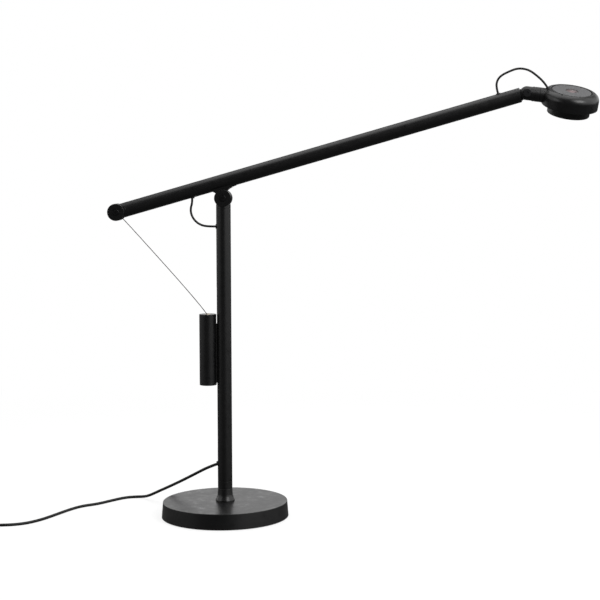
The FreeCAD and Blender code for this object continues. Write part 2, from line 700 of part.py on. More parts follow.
def make_neck():
    half = neck_slot_w / 2
    bar = rod(tube_d, neck_len + tube_r, Vector(-tube_r, 0, 0), X)
    over = tube_r + 0.2
    side_view = cross_rod(2 * cheek_r, tube_d + 2, Vector(0, 0, 0)).fuse(plate([
        (0, -cheek_r, 0), (cheek_r / 2, -over, 0), (neck_len + 1, -over, 0),
        (neck_len + 1, over, 0), (cheek_r / 2, over, 0), (0, cheek_r, 0)], tube_d + 2))
    fork = bar.common(side_view)
    slot = block((-tube_r - 1, 0), (-half, half), (-tube_d, tube_d)).fuse(
        cross_rod(2 * fork_throat, neck_slot_w, Vector(0, 0, 0))).fuse(
        block((0, fork_throat), (-half, half), (-tube_d, tube_d)))
    groove = ring(tube_d + 2, tube_d - 1.2, neck_groove_w,
                  Vector(neck_groove_at - neck_groove_w / 2, 0, 0), X)
    flat = tube_r - 1.2
    spots = [rod(pin_head_d + 0.8, 4, Vector(0, side * flat, 0), Y * side) for side in (-1, 1)]
    bore = cross_rod(head_pin_d + 2 * fit_gap, 2 * tube_d, Vector(0, 0, 0))
    shaft = rod(swivel_shaft_d, clip_at + swivel_clip_t + 0.7 - neck_len + 1, Vector(neck_len - 1, 0, 0), X)
    clip_groove = ring(swivel_shaft_d + 2, swivel_shaft_d - 1.4, swivel_clip_t + 0.1,
                       Vector(clip_at - 0.05, 0, 0), X)
    solid = fork.cut(slot).cut(groove).cut(Part.makeCompound(spots)).cut(bore)
    solid = solid.fuse(shaft).removeSplitter().cut(clip_groove)
    pieces["neck_fork"] = set_in(neck_frame, solid)

    clip = ring(swivel_shaft_d + 2.0, swivel_shaft_d - 1.3, swivel_clip_t, Vector(clip_at, 0, 0), X)
    mouth = block((clip_at - 1, clip_at + 2), (-2, 2), (-swivel_shaft_d, 0))
    pieces["neck_clip"] = set_in(neck_frame, clip.cut(mouth))

    pin = cross_rod(head_pin_d, 2 * flat + 0.02, Vector(0, 0, 0))
    heads = []
    for side in (-1, 1):
        heads.append(turned([
            (0, 0, 0), (pin_head_d / 2, 0, 0), (pin_head_d / 2, pin_head_h, 0.4), (0, pin_head_h, 0)],
            Vector(0, side * flat, 0), Y * side))
    socket = rod(3.4, 1.2, Vector(0, -flat - pin_head_h - 0.2, 0), Y)
    pieces["head_hinge_pin"] = set_in(neck_frame, pin.fuse(heads).removeSplitter().cut(socket))
    start = head_tongue_w / 2 + side_gap
    rings = [ring(head_eye_d - 1, head_pin_d + 2 * run_gap, washer_t,
                  Vector(0, side * start, 0), Y * side) for side in (-1, 1)]
    pieces["hinge_washers"] = set_in(neck_frame, Part.makeCompound(rings))


# ---- head ------------------------------------------------------------------

def head_turned(corners):
    return turned(corners, head_middle)


def cable_entry():
    """Where the cable enters the shoulder, in the head's frame, and the way out."""
    place, lean = math.radians(entry_place), math.radians(entry_lean)
    bend_at = head_middle + Vector(-(head_r - shoulder_r), 0, head_half_h - shoulder_r)
    at = bend_at + Vector(-math.cos(place), 0, math.sin(place)) * shoulder_r
    return at, Vector(-math.cos(lean), 0, math.sin(lean))


def make_head_shell():
    top, low = head_half_h, -head_half_h
    seat_r = plate_d / 2 + plate_gap
    under_ledge = plate_low - head_wall
    inner_r = head_r - head_wall
    shell = head_turned([
        (seat_r, top, 0.3), (head_r, top, shoulder_r), (head_r, low, 1.0), (ring_r + 0.15, low, 0.2),
        (ring_r + 0.15, low + head_wall, 0), (inner_r, low + head_wall, 0),
        (inner_r, under_ledge, shoulder_r - head_wall), (seat_r - ledge_w, under_ledge, 0),
        (seat_r - ledge_w, plate_low, 0), (seat_r, plate_low, 0)])
    boss = turned([
        (0, 0, 0), (tube_r, 0, 0.3), (tube_r, boss_end - boss_start, 0), (0, boss_end - boss_start, 0)],
        Vector(boss_start, 0, 0), X)
    shaft_bore = rod(swivel_shaft_d + 2 * run_gap, 30, Vector(boss_start - 1, 0, 0), X)
    clip_room = rod(swivel_shaft_d + 3.0, 30, Vector(clip_at - 0.1, 0, 0), X)
    at, way = cable_entry()
    shell = shell.fuse(boss).cut(shaft_bore).cut(clip_room.common(block(
        (0, boss_end + 0.1), (-tube_r, tube_r), (-tube_r, tube_r))))
    shell = shell.cut(grommet_hole(at, way, cable_d)).cut(head_drill())
    pieces["head_shell"] = set_in(head_frame, shell)
    skin = head_turned([(0, top, 0), (head_r, top, shoulder_r), (head_r, low, 1.0), (0, low, 0)]).fuse(boss)
    pieces["head_grommet"] = set_in(head_frame, grommet(at, way, cable_d, skin))

    hole_r = button_d / 2 + button_gap
    plate_top = plate_low + plate_t
    pieces["top_plate"] = set_in(head_frame, head_turned([
        (hole_r, plate_top, 0.3), (plate_d / 2, plate_top, 0.3), (plate_d / 2, plate_low, 0),
        (hole_r, plate_low, 0)]))


def make_button():
    rim = button_d / 2
    face = head_half_h - button_recess
    lip_top = plate_low - 0.1
    lip_low = lip_top - 1.0
    plunger_low = lip_low - 5.4
    pieces["dimmer_button"] = set_in(head_frame, head_turned([
        (0, face - button_dish, 0), (rim * 0.55, face - button_dish * 0.78, 6.0), (rim - 1.0, face, 0.5),
        (rim, face, 0.3), (rim, lip_top, 0), (rim + button_lip, lip_top, 0), (rim + button_lip, lip_low, 0),
        (plunger_d / 2, lip_low, 0), (plunger_d / 2, plunger_low, 0.3), (0, plunger_low, 0)]))

    board_top = plunger_low - button_travel - 0.4
    half = switch_w / 2
    can = block((head_at - half, head_at + half), (-half, half), (board_top, board_top + switch_h))
    can = can.cut(rod(plunger_d + 0.4, switch_h, head_middle + Z * (board_top + 0.2)))
    pieces["dimmer_switch"] = set_in(head_frame, can)
    pieces["dimmer_board"] = set_in(head_frame, head_turned([
        (0, board_top, 0), (board_d / 2, board_top, 0), (board_d / 2, board_top - board_t, 0),
        (0, board_top - board_t, 0)]))
    return board_top


def head_screw_places():
    return [head_middle + Vector(math.cos(math.radians(120 * k)), math.sin(math.radians(120 * k)), 0)
            * (ring_r + 1.8) for k in range(3)]


def head_drill():
    """The screw holes through the sink and the ring's flange, blind in the shell."""
    return Part.makeCompound([rod(2.7, 30, at + Z * (ring_seat - 0.85)) for at in head_screw_places()])


def make_light(board_top):
    flange_r = ring_r + 3.5
    lip_r = ring_r - ring_wall - 1.4
    lip_t = 1.0
    bottom = -ring_low
    inner = ring_r - ring_wall
    sink_low = ring_seat + ring_flange_t
    sink_top = sink_low + sink_t
    neck_room = rod(tube_d + 1.0, boss_end + 0.5, Vector(0, 0, 0), X)
    rim = head_turned([
        (inner, sink_low, 0), (flange_r, sink_low, 0.2), (flange_r, ring_seat, 0),
        (ring_r, ring_seat, 0), (ring_r, bottom, 1.2), (lip_r, bottom, 0.3), (lip_r, bottom + lip_t, 0),
        (inner, bottom + lip_t, 0)])
    pieces["lamp_ring"] = set_in(head_frame, rim.cut(head_drill()).cut(neck_room))

    sink_r = head_r - head_wall - 0.6
    sink = head_turned([
        (0, sink_top, 0), (sink_r, sink_top, 0), (sink_r, sink_low, 0), (0, sink_low, 0)])
    raised = [block((head_at - 12, head_at + 12), (3.2 * k - 0.6, 3.2 * k + 0.6),
                    (sink_top - 0.01, sink_top + 1.4)) for k in (-3, -2, -1, 1, 2, 3)]
    post_h = board_top - board_t - sink_top
    for k in range(3):
        turn = math.radians(60 + 120 * k)
        at = head_middle + Vector(math.cos(turn), math.sin(turn), 0) * (board_d / 2 - 3.0)
        raised.append(rod(post_d, post_h + 0.01, at + Z * (sink_top - 0.01)))
    sink = sink.fuse(raised).cut(head_drill()).cut(neck_room)
    pieces["heat_sink"] = set_in(head_frame, sink)

    screws = []
    for at in head_screw_places():
        head = rod(5.0, 2.0, at + Z * sink_top)
        shank = rod(2.6, sink_top - ring_seat + 0.9, at + Z * (ring_seat - 0.8))
        screws.append(head.fuse(shank).cut(rod(1.6, 1.2, at + Z * (sink_top + 1.0))))
    pieces["head_screws"] = set_in(head_frame, Part.makeCompound(screws))

    board_r = inner - 0.4
    led_low = sink_low - board_t
    pieces["led_board"] = set_in(head_frame, head_turned([
        (0, sink_low, 0), (board_r, sink_low, 0), (board_r, led_low, 0), (0, led_low, 0)]))
    diffuser_low = bottom + lip_t
    diffuser_top = diffuser_low + diffuser_t
    pieces["diffuser"] = set_in(head_frame, head_turned([
        (0, diffuser_top, 0), (inner - 0.1, diffuser_top, 0), (inner - 0.1, diffuser_low, 0.2),
        (0, diffuser_low, 0)]))
    pieces["reflector"] = set_in(head_frame, head_turned([
        (14.0, led_low, 0), (15.2, led_low, 0), (inner - 0.1, diffuser_top + 1.2, 0),
        (inner - 0.1, diffuser_top, 0), (inner - 1.2, diffuser_top, 0)]))


# ---- cables ----------------------------------------------------------------

def make_loops(board_top):
    entry_at, entry_way = cable_entry()
    low_at, low_way = arm_lower_exit()
    finish = arm_frame.multVec(low_at + low_way * grommet_lip)
    below_pivot = [pivot + Vector(x, 0, z) for x, z in (
        (-30.5, -37.2), (-38.8, -31.6), (-44.0, -23.4), (-45.2, -14.4))]
    pieces["stem_loop_cable"] = cable("stem_loop_cable", [
        Vector(-tube_r - grommet_lip, 0, loop_hole_h), Vector(-20.5, 0, loop_hole_h),
        *below_pivot, finish - Z * 6.5, finish], cable_d)

    start = arm_frame.multVec(Vector(arm_upper_hole, 0, tube_r + grommet_lip))
    outside = head_frame.multVec(entry_at + entry_way * 8.0)
    inside = head_frame.multVec(entry_at - entry_way * 7.0)
    on_board = head_frame.multVec(Vector(head_at - board_d / 2 + 2.5, 0, board_top + cable_d / 2 + 0.05))
    over_hinge = [head_hinge + Vector(x, y, z) for x, y, z in (
        (-41.35, 0, 8.58), (-40.25, 0, 17.18), (-34.85, 0, 23.98), (-24.85, 0, 29.08),
        (-12.05, 0, 33.98), (1.95, -1.2, 31.98), (13.55, -3.2, 23.58))]
    pieces["head_loop_cable"] = cable(
        "head_loop_cable", [start, *over_hinge, outside, inside, on_board], cable_d)


def cord_route():
    """Where the mains cord lies, from the stem to the coil."""
    floor = cord_d / 2
    coil_start = coil_point(0) + X * cord_d
    return [
        cord_exit + cord_way * grommet_lip, cord_exit + cord_way * 13.8,
        Vector(-36.5, 10.0, 60.3), Vector(-51.8, 27.0, 49.9), Vector(-69.3, 46.0, 38.3),
        Vector(-88.2, 64.5, 26.7), Vector(-105.0, 81.5, 16.6), Vector(-118.5, 97.0, 8.0),
        Vector(-128.5, 108.0, floor + 1.2), Vector(-142.0, 112.4, floor), Vector(-157.0, 107.0, floor),
        Vector(-172.5, 88.0, floor),
        Vector(-190.0, 64.0, floor), Vector(-208.5, 52.0, floor), Vector(-221.5, 31.0, floor),
        Vector(-235.0, -1.0, floor), Vector(-250.5, -36.0, floor), Vector(-270.0, -58.5, floor),
        Vector(-298.0, -66.0, floor), Vector(coil_at[0] + 28.0, coil_start.y, coil_start.z),
        coil_start]


def coil_outer():
    return coil_turn_d / 2 + coil_pitch * coil_spiral_turns / 2


def coil_height(layer):
    return cord_d / 2 + tie_t + coil_layer * layer


def coil_point(turns):
    """A point of the coil's middle line, turns round from its start.  Each layer
    spirals in or out, and the half turn after it climbs to the next."""
    period = coil_spiral_turns + 0.5
    layer = min(int(turns / period), coil_layers - 1)
    within = turns - layer * period
    share = min(within / coil_spiral_turns, 1.0)
    if layer % 2:
        share = 1.0 - share
    radius = coil_outer() - coil_pitch * coil_spiral_turns * share
    climb = min(max((within - coil_spiral_turns) / 0.5, 0.0), 1.0)
    smooth = climb * climb * (3 - 2 * climb)
    height = coil_height(layer) + coil_layer * smooth
    turn = -math.pi / 2 - 2 * math.pi * turns
    return Vector(coil_at[0] + radius * math.cos(turn), coil_at[1] + radius * math.sin(turn), height)


def arc_from(start, way, stop):
    """The arc that leaves start along way and ends at stop."""
    chord = stop - start
    lean = way - chord * (way.dot(chord) / chord.dot(chord))
    if lean.Length < 1e-7:
        return Part.LineSegment(start, stop).toShape()
    bow = chord.Length / 2 * math.tan(way.getAngle(chord) / 2)
    return Part.Arc(start, (start + stop) / 2 + lean.normalize() * bow, stop).toShape()


def biarc(start, way_out, stop, way_in):
    """Two arcs that join the points and have the two ways at their ends."""
    reach, ways = stop - start, way_out + way_in
    spare = 1 - way_out.dot(way_in)
    along = reach.dot(ways)
    d = (math.sqrt(along * along + 2 * spare * reach.dot(reach)) - along) / (2 * spare)
    joint = (start + way_out * d + stop - way_in * d) / 2
    return [arc_from(start, way_out, joint), arc_from(stop, -way_in, joint)]


def make_coil():
    total = (coil_layers - 1) * (coil_spiral_turns + 0.5) + coil_last_turns
    quarters = int(round(total * 4))
    step = 1e-4
    points = [coil_point(k / 4) for k in range(quarters + 1)]
    ways = [(coil_point(k / 4 + step) - coil_point(k / 4 - step)).normalize()
            for k in range(quarters + 1)]
    ways[0] = Vector(-1, 0, 0)
    edges = [Part.LineSegment(points[0] - ways[0] * cord_d, points[0]).toShape()]
    for k in range(quarters):
        edges += biarc(points[k], ways[k], points[k + 1], ways[k + 1])
    tail = points[-1] + ways[-1] * cord_d
    edges.append(Part.LineSegment(points[-1], tail).toShape())
    path = Part.Wire(Part.__sortEdges__(edges))
    coil = swept(path, cord_d)
    section = math.pi * cord_d * cord_d / 4
    line = [coil_point(k / 24) for k in range(int(total * 24) + 1)]
    near = min((a - b).Length for i, a in enumerate(line) for b in line[i + 12:])
    print("cord_coil: length %.1f, volume/section %.4f, least gap %.2f"
          % (path.Length, coil.Volume / (section * path.Length), near - cord_d))
    pieces["cord_coil"] = coil
    return tail, ways[-1]


def make_cord():
    pieces["mains_cord"] = cable("mains_cord", cord_route(), cord_d)
    tail, way = make_coil()
    width, length, height = plug_size
    relief_at = Vector(tail.x - 3.0, tail.y + 52.0, height / 2)
    pieces["cord_tail"] = cable("cord_tail", [
        tail, tail + way * 14.0, relief_at - Y * 20.0, relief_at], cord_d)

    relief = turned([
        (0, 0, 0), (cord_d / 2 + 1.0, 0, 0.3), (cord_d / 2 + 3.0, relief_len + 1, 0),
        (0, relief_len + 1, 0)], relief_at, Y)
    body_y = relief_at.y + relief_len
    body = Part.makeBox(width, length, height, Vector(relief_at.x - width / 2, body_y, 0))
    body = body.makeFillet(plug_round, body.Edges)
    middle = Vector(relief_at.x, body_y + length, height / 2)
    pins = []
    holes = []
    for side in (-1, 1):
        at = middle + X * (side * pin_spread / 2)
        pins.append(turned([
            (0, -4, 0), (pin_d / 2, -4, 0), (pin_d / 2, pin_len, 1.0), (0, pin_len, 0)], at, Y))
        holes.append(rod(pin_d + 2 * fit_gap, 5, at - Y * 4, Y))
    pieces["plug_body"] = body.fuse(relief).cut(Part.makeCompound(holes))
    pieces["plug_pins"] = Part.makeCompound(pins)


def make_tie():
    """A strap round all the coil's turns, on its left side."""
    outer = coil_outer() + cord_d / 2 + tie_slack
    inner = coil_outer() - coil_pitch * coil_spiral_turns - cord_d / 2 - tie_slack
    high = coil_height(coil_layers - 1) + cord_d / 2 + tie_slack
    low = coil_height(0) - cord_d / 2
    centre_y = coil_at[1]
    half = tie_w / 2
    left = coil_at[0] - outer
    right = coil_at[0] - inner
    strap = block((left - tie_t, right + tie_t), (centre_y - half, centre_y + half),
                  (low - tie_t, high + tie_t))
    window = block((left, right), (centre_y - tie_w, centre_y + tie_w), (low, high))
    pieces["coil_tie"] = strap.cut(window)


# ---- the whole lamp ---------------------------------------------------------

make_foot(make_base())
make_stem()
make_arm_pivot()
make_arm_tube()
make_saddle()
make_tail()
make_head_plug()
make_weight()
make_wire()
make_neck()
make_head_shell()
board_top = make_button()
make_light(board_top)
make_loops(board_top)
make_cord()
make_tie()

os.makedirs("parts", exist_ok=True)
for name, shape in pieces.items():
    if not shape.isValid():
        print("NOT VALID:", name)
    shape.exportStep("parts/%s.step" % name)
print("nodes:", len(pieces), "pivot", pivot, "tail", tail_hub, "head hinge", head_hinge)
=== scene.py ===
import json
import math
import bmesh
import bpy
from mathutils import Matrix, Vector

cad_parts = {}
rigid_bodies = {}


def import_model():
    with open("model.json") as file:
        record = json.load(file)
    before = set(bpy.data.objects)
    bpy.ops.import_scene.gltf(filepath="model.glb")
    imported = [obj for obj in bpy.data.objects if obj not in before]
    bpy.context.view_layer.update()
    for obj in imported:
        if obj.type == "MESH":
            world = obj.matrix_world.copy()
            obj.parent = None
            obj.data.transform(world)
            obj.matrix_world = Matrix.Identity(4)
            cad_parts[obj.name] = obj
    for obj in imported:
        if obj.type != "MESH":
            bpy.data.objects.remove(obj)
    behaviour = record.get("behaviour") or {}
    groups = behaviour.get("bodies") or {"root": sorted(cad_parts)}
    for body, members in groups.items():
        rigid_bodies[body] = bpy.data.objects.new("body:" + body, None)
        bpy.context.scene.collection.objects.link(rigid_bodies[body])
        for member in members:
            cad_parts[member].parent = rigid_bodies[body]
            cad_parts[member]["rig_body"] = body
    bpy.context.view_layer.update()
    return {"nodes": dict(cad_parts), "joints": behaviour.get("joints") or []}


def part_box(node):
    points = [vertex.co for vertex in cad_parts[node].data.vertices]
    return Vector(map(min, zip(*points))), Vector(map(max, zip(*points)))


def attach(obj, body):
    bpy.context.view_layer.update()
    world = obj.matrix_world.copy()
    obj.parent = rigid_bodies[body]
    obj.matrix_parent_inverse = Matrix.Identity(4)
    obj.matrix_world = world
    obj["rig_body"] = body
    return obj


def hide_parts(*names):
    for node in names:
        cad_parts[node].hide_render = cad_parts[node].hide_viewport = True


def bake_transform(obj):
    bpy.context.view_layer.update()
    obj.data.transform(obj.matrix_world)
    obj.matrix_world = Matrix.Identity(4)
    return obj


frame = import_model()


# ---- rest pad ---------------------------------------------------------------
# A thin disc of black rubber under the base, glued into the open side of the
# cover, so that the lamp doesn't slide.  It is cut from sheet and keeps the fine
# grain of the mill.

mm = 0.001
up = Vector((0, 0, 1))


class Signal:
    """A shader socket that can be summed and multiplied as a number."""

    def __init__(self, paint, socket):
        self.paint = paint
        self.socket = socket

    def maths(self, operation, first, second):
        return self.paint.node("Math", {"operation": operation}, {0: first, 1: second})

    def __add__(self, other):
        return self.maths("ADD", self, other)

    def __sub__(self, other):
        return self.maths("SUBTRACT", self, other)

    def __rsub__(self, other):
        return self.maths("SUBTRACT", other, self)

    def __mul__(self, other):
        return self.maths("MULTIPLY", self, other)

    def __pow__(self, other):
        return self.maths("POWER", self, other)

    __radd__ = __add__
    __rmul__ = __mul__


class Paint:
    """A finish, or the light of a room, while it is mixed."""

    def __init__(self, holder):
        self.holder = holder
        holder.use_nodes = True
        self.tree = holder.node_tree
        self.tree.nodes.clear()

    def node(self, kind, settings=None, sockets=None, out=0):
        """Adds a node and gives one of its outputs."""
        made = self.tree.nodes.new("ShaderNode" + kind)
        for name, value in (settings or {}).items():
            setattr(made, name, value)
        for name, value in (sockets or {}).items():
            if isinstance(value, Signal):
                self.tree.links.new(value.socket, made.inputs[name])
            elif made.inputs[name].type == "RGBA":
                made.inputs[name].default_value = (*value, 1.0)
            else:
                made.inputs[name].default_value = value
        return Signal(self, made.outputs[out]) if made.outputs else None

    def grain(self, size, detail=2.0, stretch=(1, 1, 1), place=None):
        """A noise from 0 to 1 whose blobs are about as large as size."""
        place = place or self.node("TexCoord", out="Object")
        fine = [s / size for s in stretch]
        place = self.node("Mapping", None, {"Vector": place, "Scale": fine})
        return self.node("TexNoise", None, {"Vector": place, "Scale": 1.0, "Detail": detail})

    def between(self, share, low, high):
        """A colour from low to high."""
        return self.node("Mix", {"data_type": "RGBA"}, {0: share, 6: low, 7: high}, out=2)

    def surface(self, colour, roughness, height, relief, **plain):
        """Ends the finish in a shader, with a bump of height times relief, in metres."""
        bump = self.node("Bump", None, {"Height": height, "Distance": relief})
        sockets = {"Base Color": colour, "Roughness": roughness, "Normal": bump, **plain}
        shader = self.node("BsdfPrincipled", None, sockets)
        self.node("OutputMaterial", None, {"Surface": shader})
        return self.holder


def grey(level):
    """A colour without a tint."""
    return (level, level, level)


def moulded(name, low, high, rough, grain_size, relief, gloss=0.4):
    """A moulded or milled skin: even, with a fine grain and a slow drift of tone."""
    paint = Paint(bpy.data.materials.new(name))
    fine = paint.grain(grain_size, 3.0)
    broad = paint.grain(45 * grain_size, 2.0)
    colour = paint.between(broad * 0.7 + fine * 0.3, low, high)
    return paint.surface(colour, rough + 0.1 * broad, fine, relief, **{"Specular IOR Level": gloss})


def rounded(corners, step=math.radians(11)):
    """The points of a closed outline of (across, along, corner radius), its corners as arcs."""
    points = []
    for k, (across, along, radius) in enumerate(corners):
        here = Vector((across, along))
        if radius <= 0:
            points.append(here)
            continue
        back = (Vector(corners[k - 1][:2]) - here).normalized()
        ahead = (Vector(corners[(k + 1) % len(corners)][:2]) - here).normalized()
        half = back.angle(ahead) / 2
        turn = math.pi - 2 * half
        middle = here + (back + ahead).normalized() * (radius / math.sin(half))
        start = here + back * (radius / math.tan(half)) - middle
        stop = here + ahead * (radius / math.tan(half)) - middle
        count = max(2, math.ceil(turn / step))
        for i in range(count + 1):
            part = turn * i / count
            arm = start * math.sin(turn - part) + stop * math.sin(part)
            points.append(middle + arm / math.sin(turn))
    return points


def finished(name, mesh, crease=math.radians(33)):
    """Makes an object of a mesh, smooth but for its creases, with its flats kept flat."""
    for face in mesh.faces:
        face.smooth = True
    for edge in mesh.edges:
        edge.smooth = len(edge.link_faces) == 2 and edge.calc_face_angle() < crease
    data = bpy.data.meshes.new(name)
    mesh.to_mesh(data)
    mesh.free()
    piece = bpy.data.objects.new(name, data)
    bpy.context.scene.collection.objects.link(piece)
    flats = piece.modifiers.new("flats", "WEIGHTED_NORMAL")
    flats.keep_sharp = True
    return piece


def turned(name, corners, at=(0, 0, 0), way=up, sides=96):
    """A piece turned about way from a closed outline of (radius, height, corner radius)."""
    place = Matrix.Translation(at) @ up.rotation_difference(Vector(way)).to_matrix().to_4x4()
    turns = [2 * math.pi * k / sides for k in range(sides)]
    mesh = bmesh.new()
    rows = []
    for radius, height in rounded(corners):
        row = [Vector((radius * math.cos(t), radius * math.sin(t), height)) for t in turns]
        if radius < 1e-7:
            row = row[:1]
        rows.append([mesh.verts.new(place @ point) for point in row])
    for row, following in zip(rows, rows[1:] + rows[:1]):
        for k in range(sides if len(row) + len(following) > 2 else 0):
            both = [row[k % len(row)], row[(k + 1) % len(row)],
                    following[(k + 1) % len(following)], following[k % len(following)]]
            mesh.faces.new(list(dict.fromkeys(both)))
    bmesh.ops.recalc_face_normals(mesh, faces=mesh.faces)
    return finished(name, mesh)


def fit(piece, finish, node):
    """Gives a piece its finish and puts it in the place of a node."""
    piece.data.materials.clear()
    piece.data.materials.append(finish)
    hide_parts(node)
    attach(piece, frame["nodes"][node]["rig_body"])


low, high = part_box("base_pad")
pad_r = (high.x - low.x) / 2
rubber = moulded("milled rubber", grey(0.010), grey(0.019), 0.72, 0.5 * mm, 0.05 * mm, 0.3)
pad = turned("rest_pad_sheet", [
    (0, high.z, 0), (pad_r, high.z, 0.3 * mm), (pad_r, low.z, 0.5 * mm), (0, low.z, 0)], sides=160)
fit(pad, rubber, "base_pad")


# ---- base weight ------------------------------------------------------------
# A thick disc of cast iron that keeps the lamp from tipping, ground on its upper
# face.  Three countersunk screws of zinc-plated steel pull the cover down on it.


def metal(name, low, high, rough, grain_size, relief):
    """A cast, turned or plated metal skin."""
    paint = Paint(bpy.data.materials.new(name))
    fine = paint.grain(grain_size, 4.0)
    broad = paint.grain(20 * grain_size, 2.0)
    colour = paint.between(fine * 0.5 + broad * 0.5, low, high)
    return paint.surface(colour, rough + 0.15 * broad, fine, relief, Metallic=1.0)


def paint_node(finish, *nodes):
    """Gives nodes that keep their own shape a finish."""
    for node in nodes:
        frame["nodes"][node].data.materials.clear()
        frame["nodes"][node].data.materials.append(finish)


iron = metal("cast iron", (0.07, 0.068, 0.066), (0.13, 0.128, 0.125), 0.55, 1.2 * mm, 0.12 * mm)
zinc = metal("zinc-plated steel", (0.46, 0.46, 0.45), (0.62, 0.62, 0.60), 0.26, 0.6 * mm, 0.01 * mm)
paint_node(iron, "base_weight")
paint_node(zinc, "base_screws", "foot_nut", "foot_washer", "foot_spigot", "swivel_clip")


# ---- base cover -------------------------------------------------------------
# The round foot that the table sees: sheet steel spun over a form to a shallow
# tapered drum with a tight upper edge, then powder-coated satin black.

cover_wall = 2.0 * mm
cover_taper = 1.7 * mm
edge = 0.6 * mm
stud_r = 7.02 * mm


def powder_coat(name, low, high, rough, gloss=0.3):
    """A baked powder coat: a fine orange peel, clouds from handling, and a little
    polish where hands and cloths rub."""
    paint = Paint(bpy.data.materials.new(name))
    peel = paint.grain(0.45 * mm, 2.0)
    clouds = paint.grain(32 * mm, 3.0)
    rubbed = paint.grain(9 * mm, 4.0) ** 5.0
    colour = paint.between(clouds * 0.6 + peel * 0.4, low, high)
    return paint.surface(
        colour, rough + 0.07 * clouds - 0.5 * rubbed, peel, 0.012 * mm, **{"Specular IOR Level": gloss})


satin_black = powder_coat(
    "satin black powder coat", (0.0028, 0.0028, 0.0029), (0.0050, 0.0050, 0.0052), 0.34)
low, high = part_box("base_cover")
rim_r = (high.x - low.x) / 2
top_r = rim_r - cover_taper
cover = turned("base_cover_spun", [
    (stud_r, high.z, 0), (top_r, high.z, edge), (rim_r, low.z, edge / 2), (rim_r - cover_wall, low.z, 0),
    (top_r - cover_wall, high.z - cover_wall, edge), (stud_r, high.z - cover_wall, 0)], sides=192)
fit(cover, satin_black, "base_cover")


# ---- foot and swivel --------------------------------------------------------
# A small cone, turned from steel and coated with the base, carries the stem.  The
# collar above it turns on a hidden spigot, on a nylon washer that shows as a line.

tube_r = 10.0 * mm
low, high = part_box("foot_cone")
foot_r = (high.x - low.x) / 2
foot_lip = 1.6 * mm
waist = low.z + 0.45 * (high.z - low.z)
cone = turned("foot_cone_turned", [
    (stud_r, high.z, 0), (tube_r, high.z, 0.3 * mm), (tube_r + 0.5 * mm, waist, 12 * mm),
    (foot_r, low.z + foot_lip, edge), (foot_r, low.z, 0), (stud_r, low.z, 0)])
fit(cone, satin_black, "foot_cone")

collar_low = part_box("swivel_collar")[0].z
sleeve_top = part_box("swivel_collar")[1].z
stem_low, stem_high = (corner.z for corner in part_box("stem_tube"))
groove = 0.5 * mm
sleeve_r = tube_r - 1.52 * mm
collar = turned("swivel_collar_turned", [
    (stud_r, collar_low, 0), (tube_r, collar_low, 0.3 * mm), (tube_r, stem_low - groove, 0.15 * mm),
    (tube_r - groove, stem_low - groove, 0), (tube_r - groove, stem_low, 0), (sleeve_r, stem_low, 0),
    (sleeve_r, sleeve_top, 0.4 * mm), (stud_r, sleeve_top, 0)])
fit(collar, satin_black, "swivel_collar")


def smoothed(node, finish, crease=math.radians(30)):
    """The node's own machined shape with its facets smoothed."""
    mesh = bmesh.new()
    mesh.from_mesh(frame["nodes"][node].data)
    bmesh.ops.remove_doubles(mesh, verts=mesh.verts, dist=1e-6)
    fit(finished(node + "_smooth", mesh, crease), finish, node)


nylon = moulded("black nylon", grey(0.008), grey(0.014), 0.5, 0.4 * mm, 0.01 * mm, 0.3)
smoothed("thrust_washer", nylon)


# ---- stem -------------------------------------------------------------------
# A steel tube, powder-coated, with a long slot milled in its back for the runner
# of the counterweight, a hole for the cord below and one for the loop above.

tube_wall = 1.5 * mm
slot_w = 5.0 * mm
slot_low, slot_high = 93.7 * mm, 319.5 * mm
cord_hole_z = 73.2 * mm
cord_way = Vector((-math.cos(math.radians(20)), 0, -math.sin(math.radians(20))))
cord_hole_d = 5.84 * mm
loop_hole_z = 401.6 * mm
loop_hole_d = 4.84 * mm


def cutter(start, way, length, d, stretch=0.0):
    """A drill bit from start, or a milling path if its upper half is stretched upward."""
    place = Matrix.Translation(start) @ up.rotation_difference(Vector(way)).to_matrix().to_4x4()
    mesh = bmesh.new()
    bmesh.ops.create_cone(
        mesh, cap_ends=True, segments=40, radius1=d / 2, radius2=d / 2, depth=length,
        matrix=place @ Matrix.Translation((0, 0, length / 2)))
    if stretch:
        for vert in mesh.verts:
            if (vert.co - Vector(start)).dot(up) > 0:
                vert.co += up * stretch
    return finished("cutter", mesh)


def cut(piece, cutters):
    """Cuts the cutters out of a piece and takes them away."""
    for tool in cutters:
        taken = piece.modifiers.new("cut", "BOOLEAN")
        taken.operation = "DIFFERENCE"
        taken.solver = "EXACT"
        taken.object = tool
    piece.modifiers.remove(piece.modifiers["flats"])
    solid = piece.evaluated_get(bpy.context.evaluated_depsgraph_get())
    mesh = bmesh.new()
    mesh.from_mesh(bpy.data.meshes.new_from_object(solid))
    name = piece.name
    for old in (piece, *cutters):
        bpy.data.objects.remove(old)
    return finished(name, mesh)


stem = turned("stem_tube_milled", [
    (tube_r, stem_low, 0.2 * mm), (tube_r, stem_high, 0.2 * mm),
    (tube_r - tube_wall, stem_high, 0), (tube_r - tube_wall, stem_low, 0)], sides=128)
stem = cut(stem, [
    cutter((-2 * tube_r, 0, slot_low + slot_w / 2), (1, 0, 0), 1.5 * tube_r, slot_w,
           slot_high - slot_low - slot_w),
    cutter(Vector((-tube_r, 0, cord_hole_z)) - cord_way * 5 * mm, cord_way, 12 * mm, cord_hole_d),
    cutter((-1.5 * tube_r, 0, loop_hole_z), (1, 0, 0), tube_r, loop_hole_d)])
fit(stem, satin_black, "stem_tube")


# ---- counterweight ----------------------------------------------------------
# A solid steel bar, coated like the tubes, that hangs on the wire behind the stem.
# A cap closes its lower end with one countersunk screw, and a brass plug in its
# upper end holds the wire's nipple.

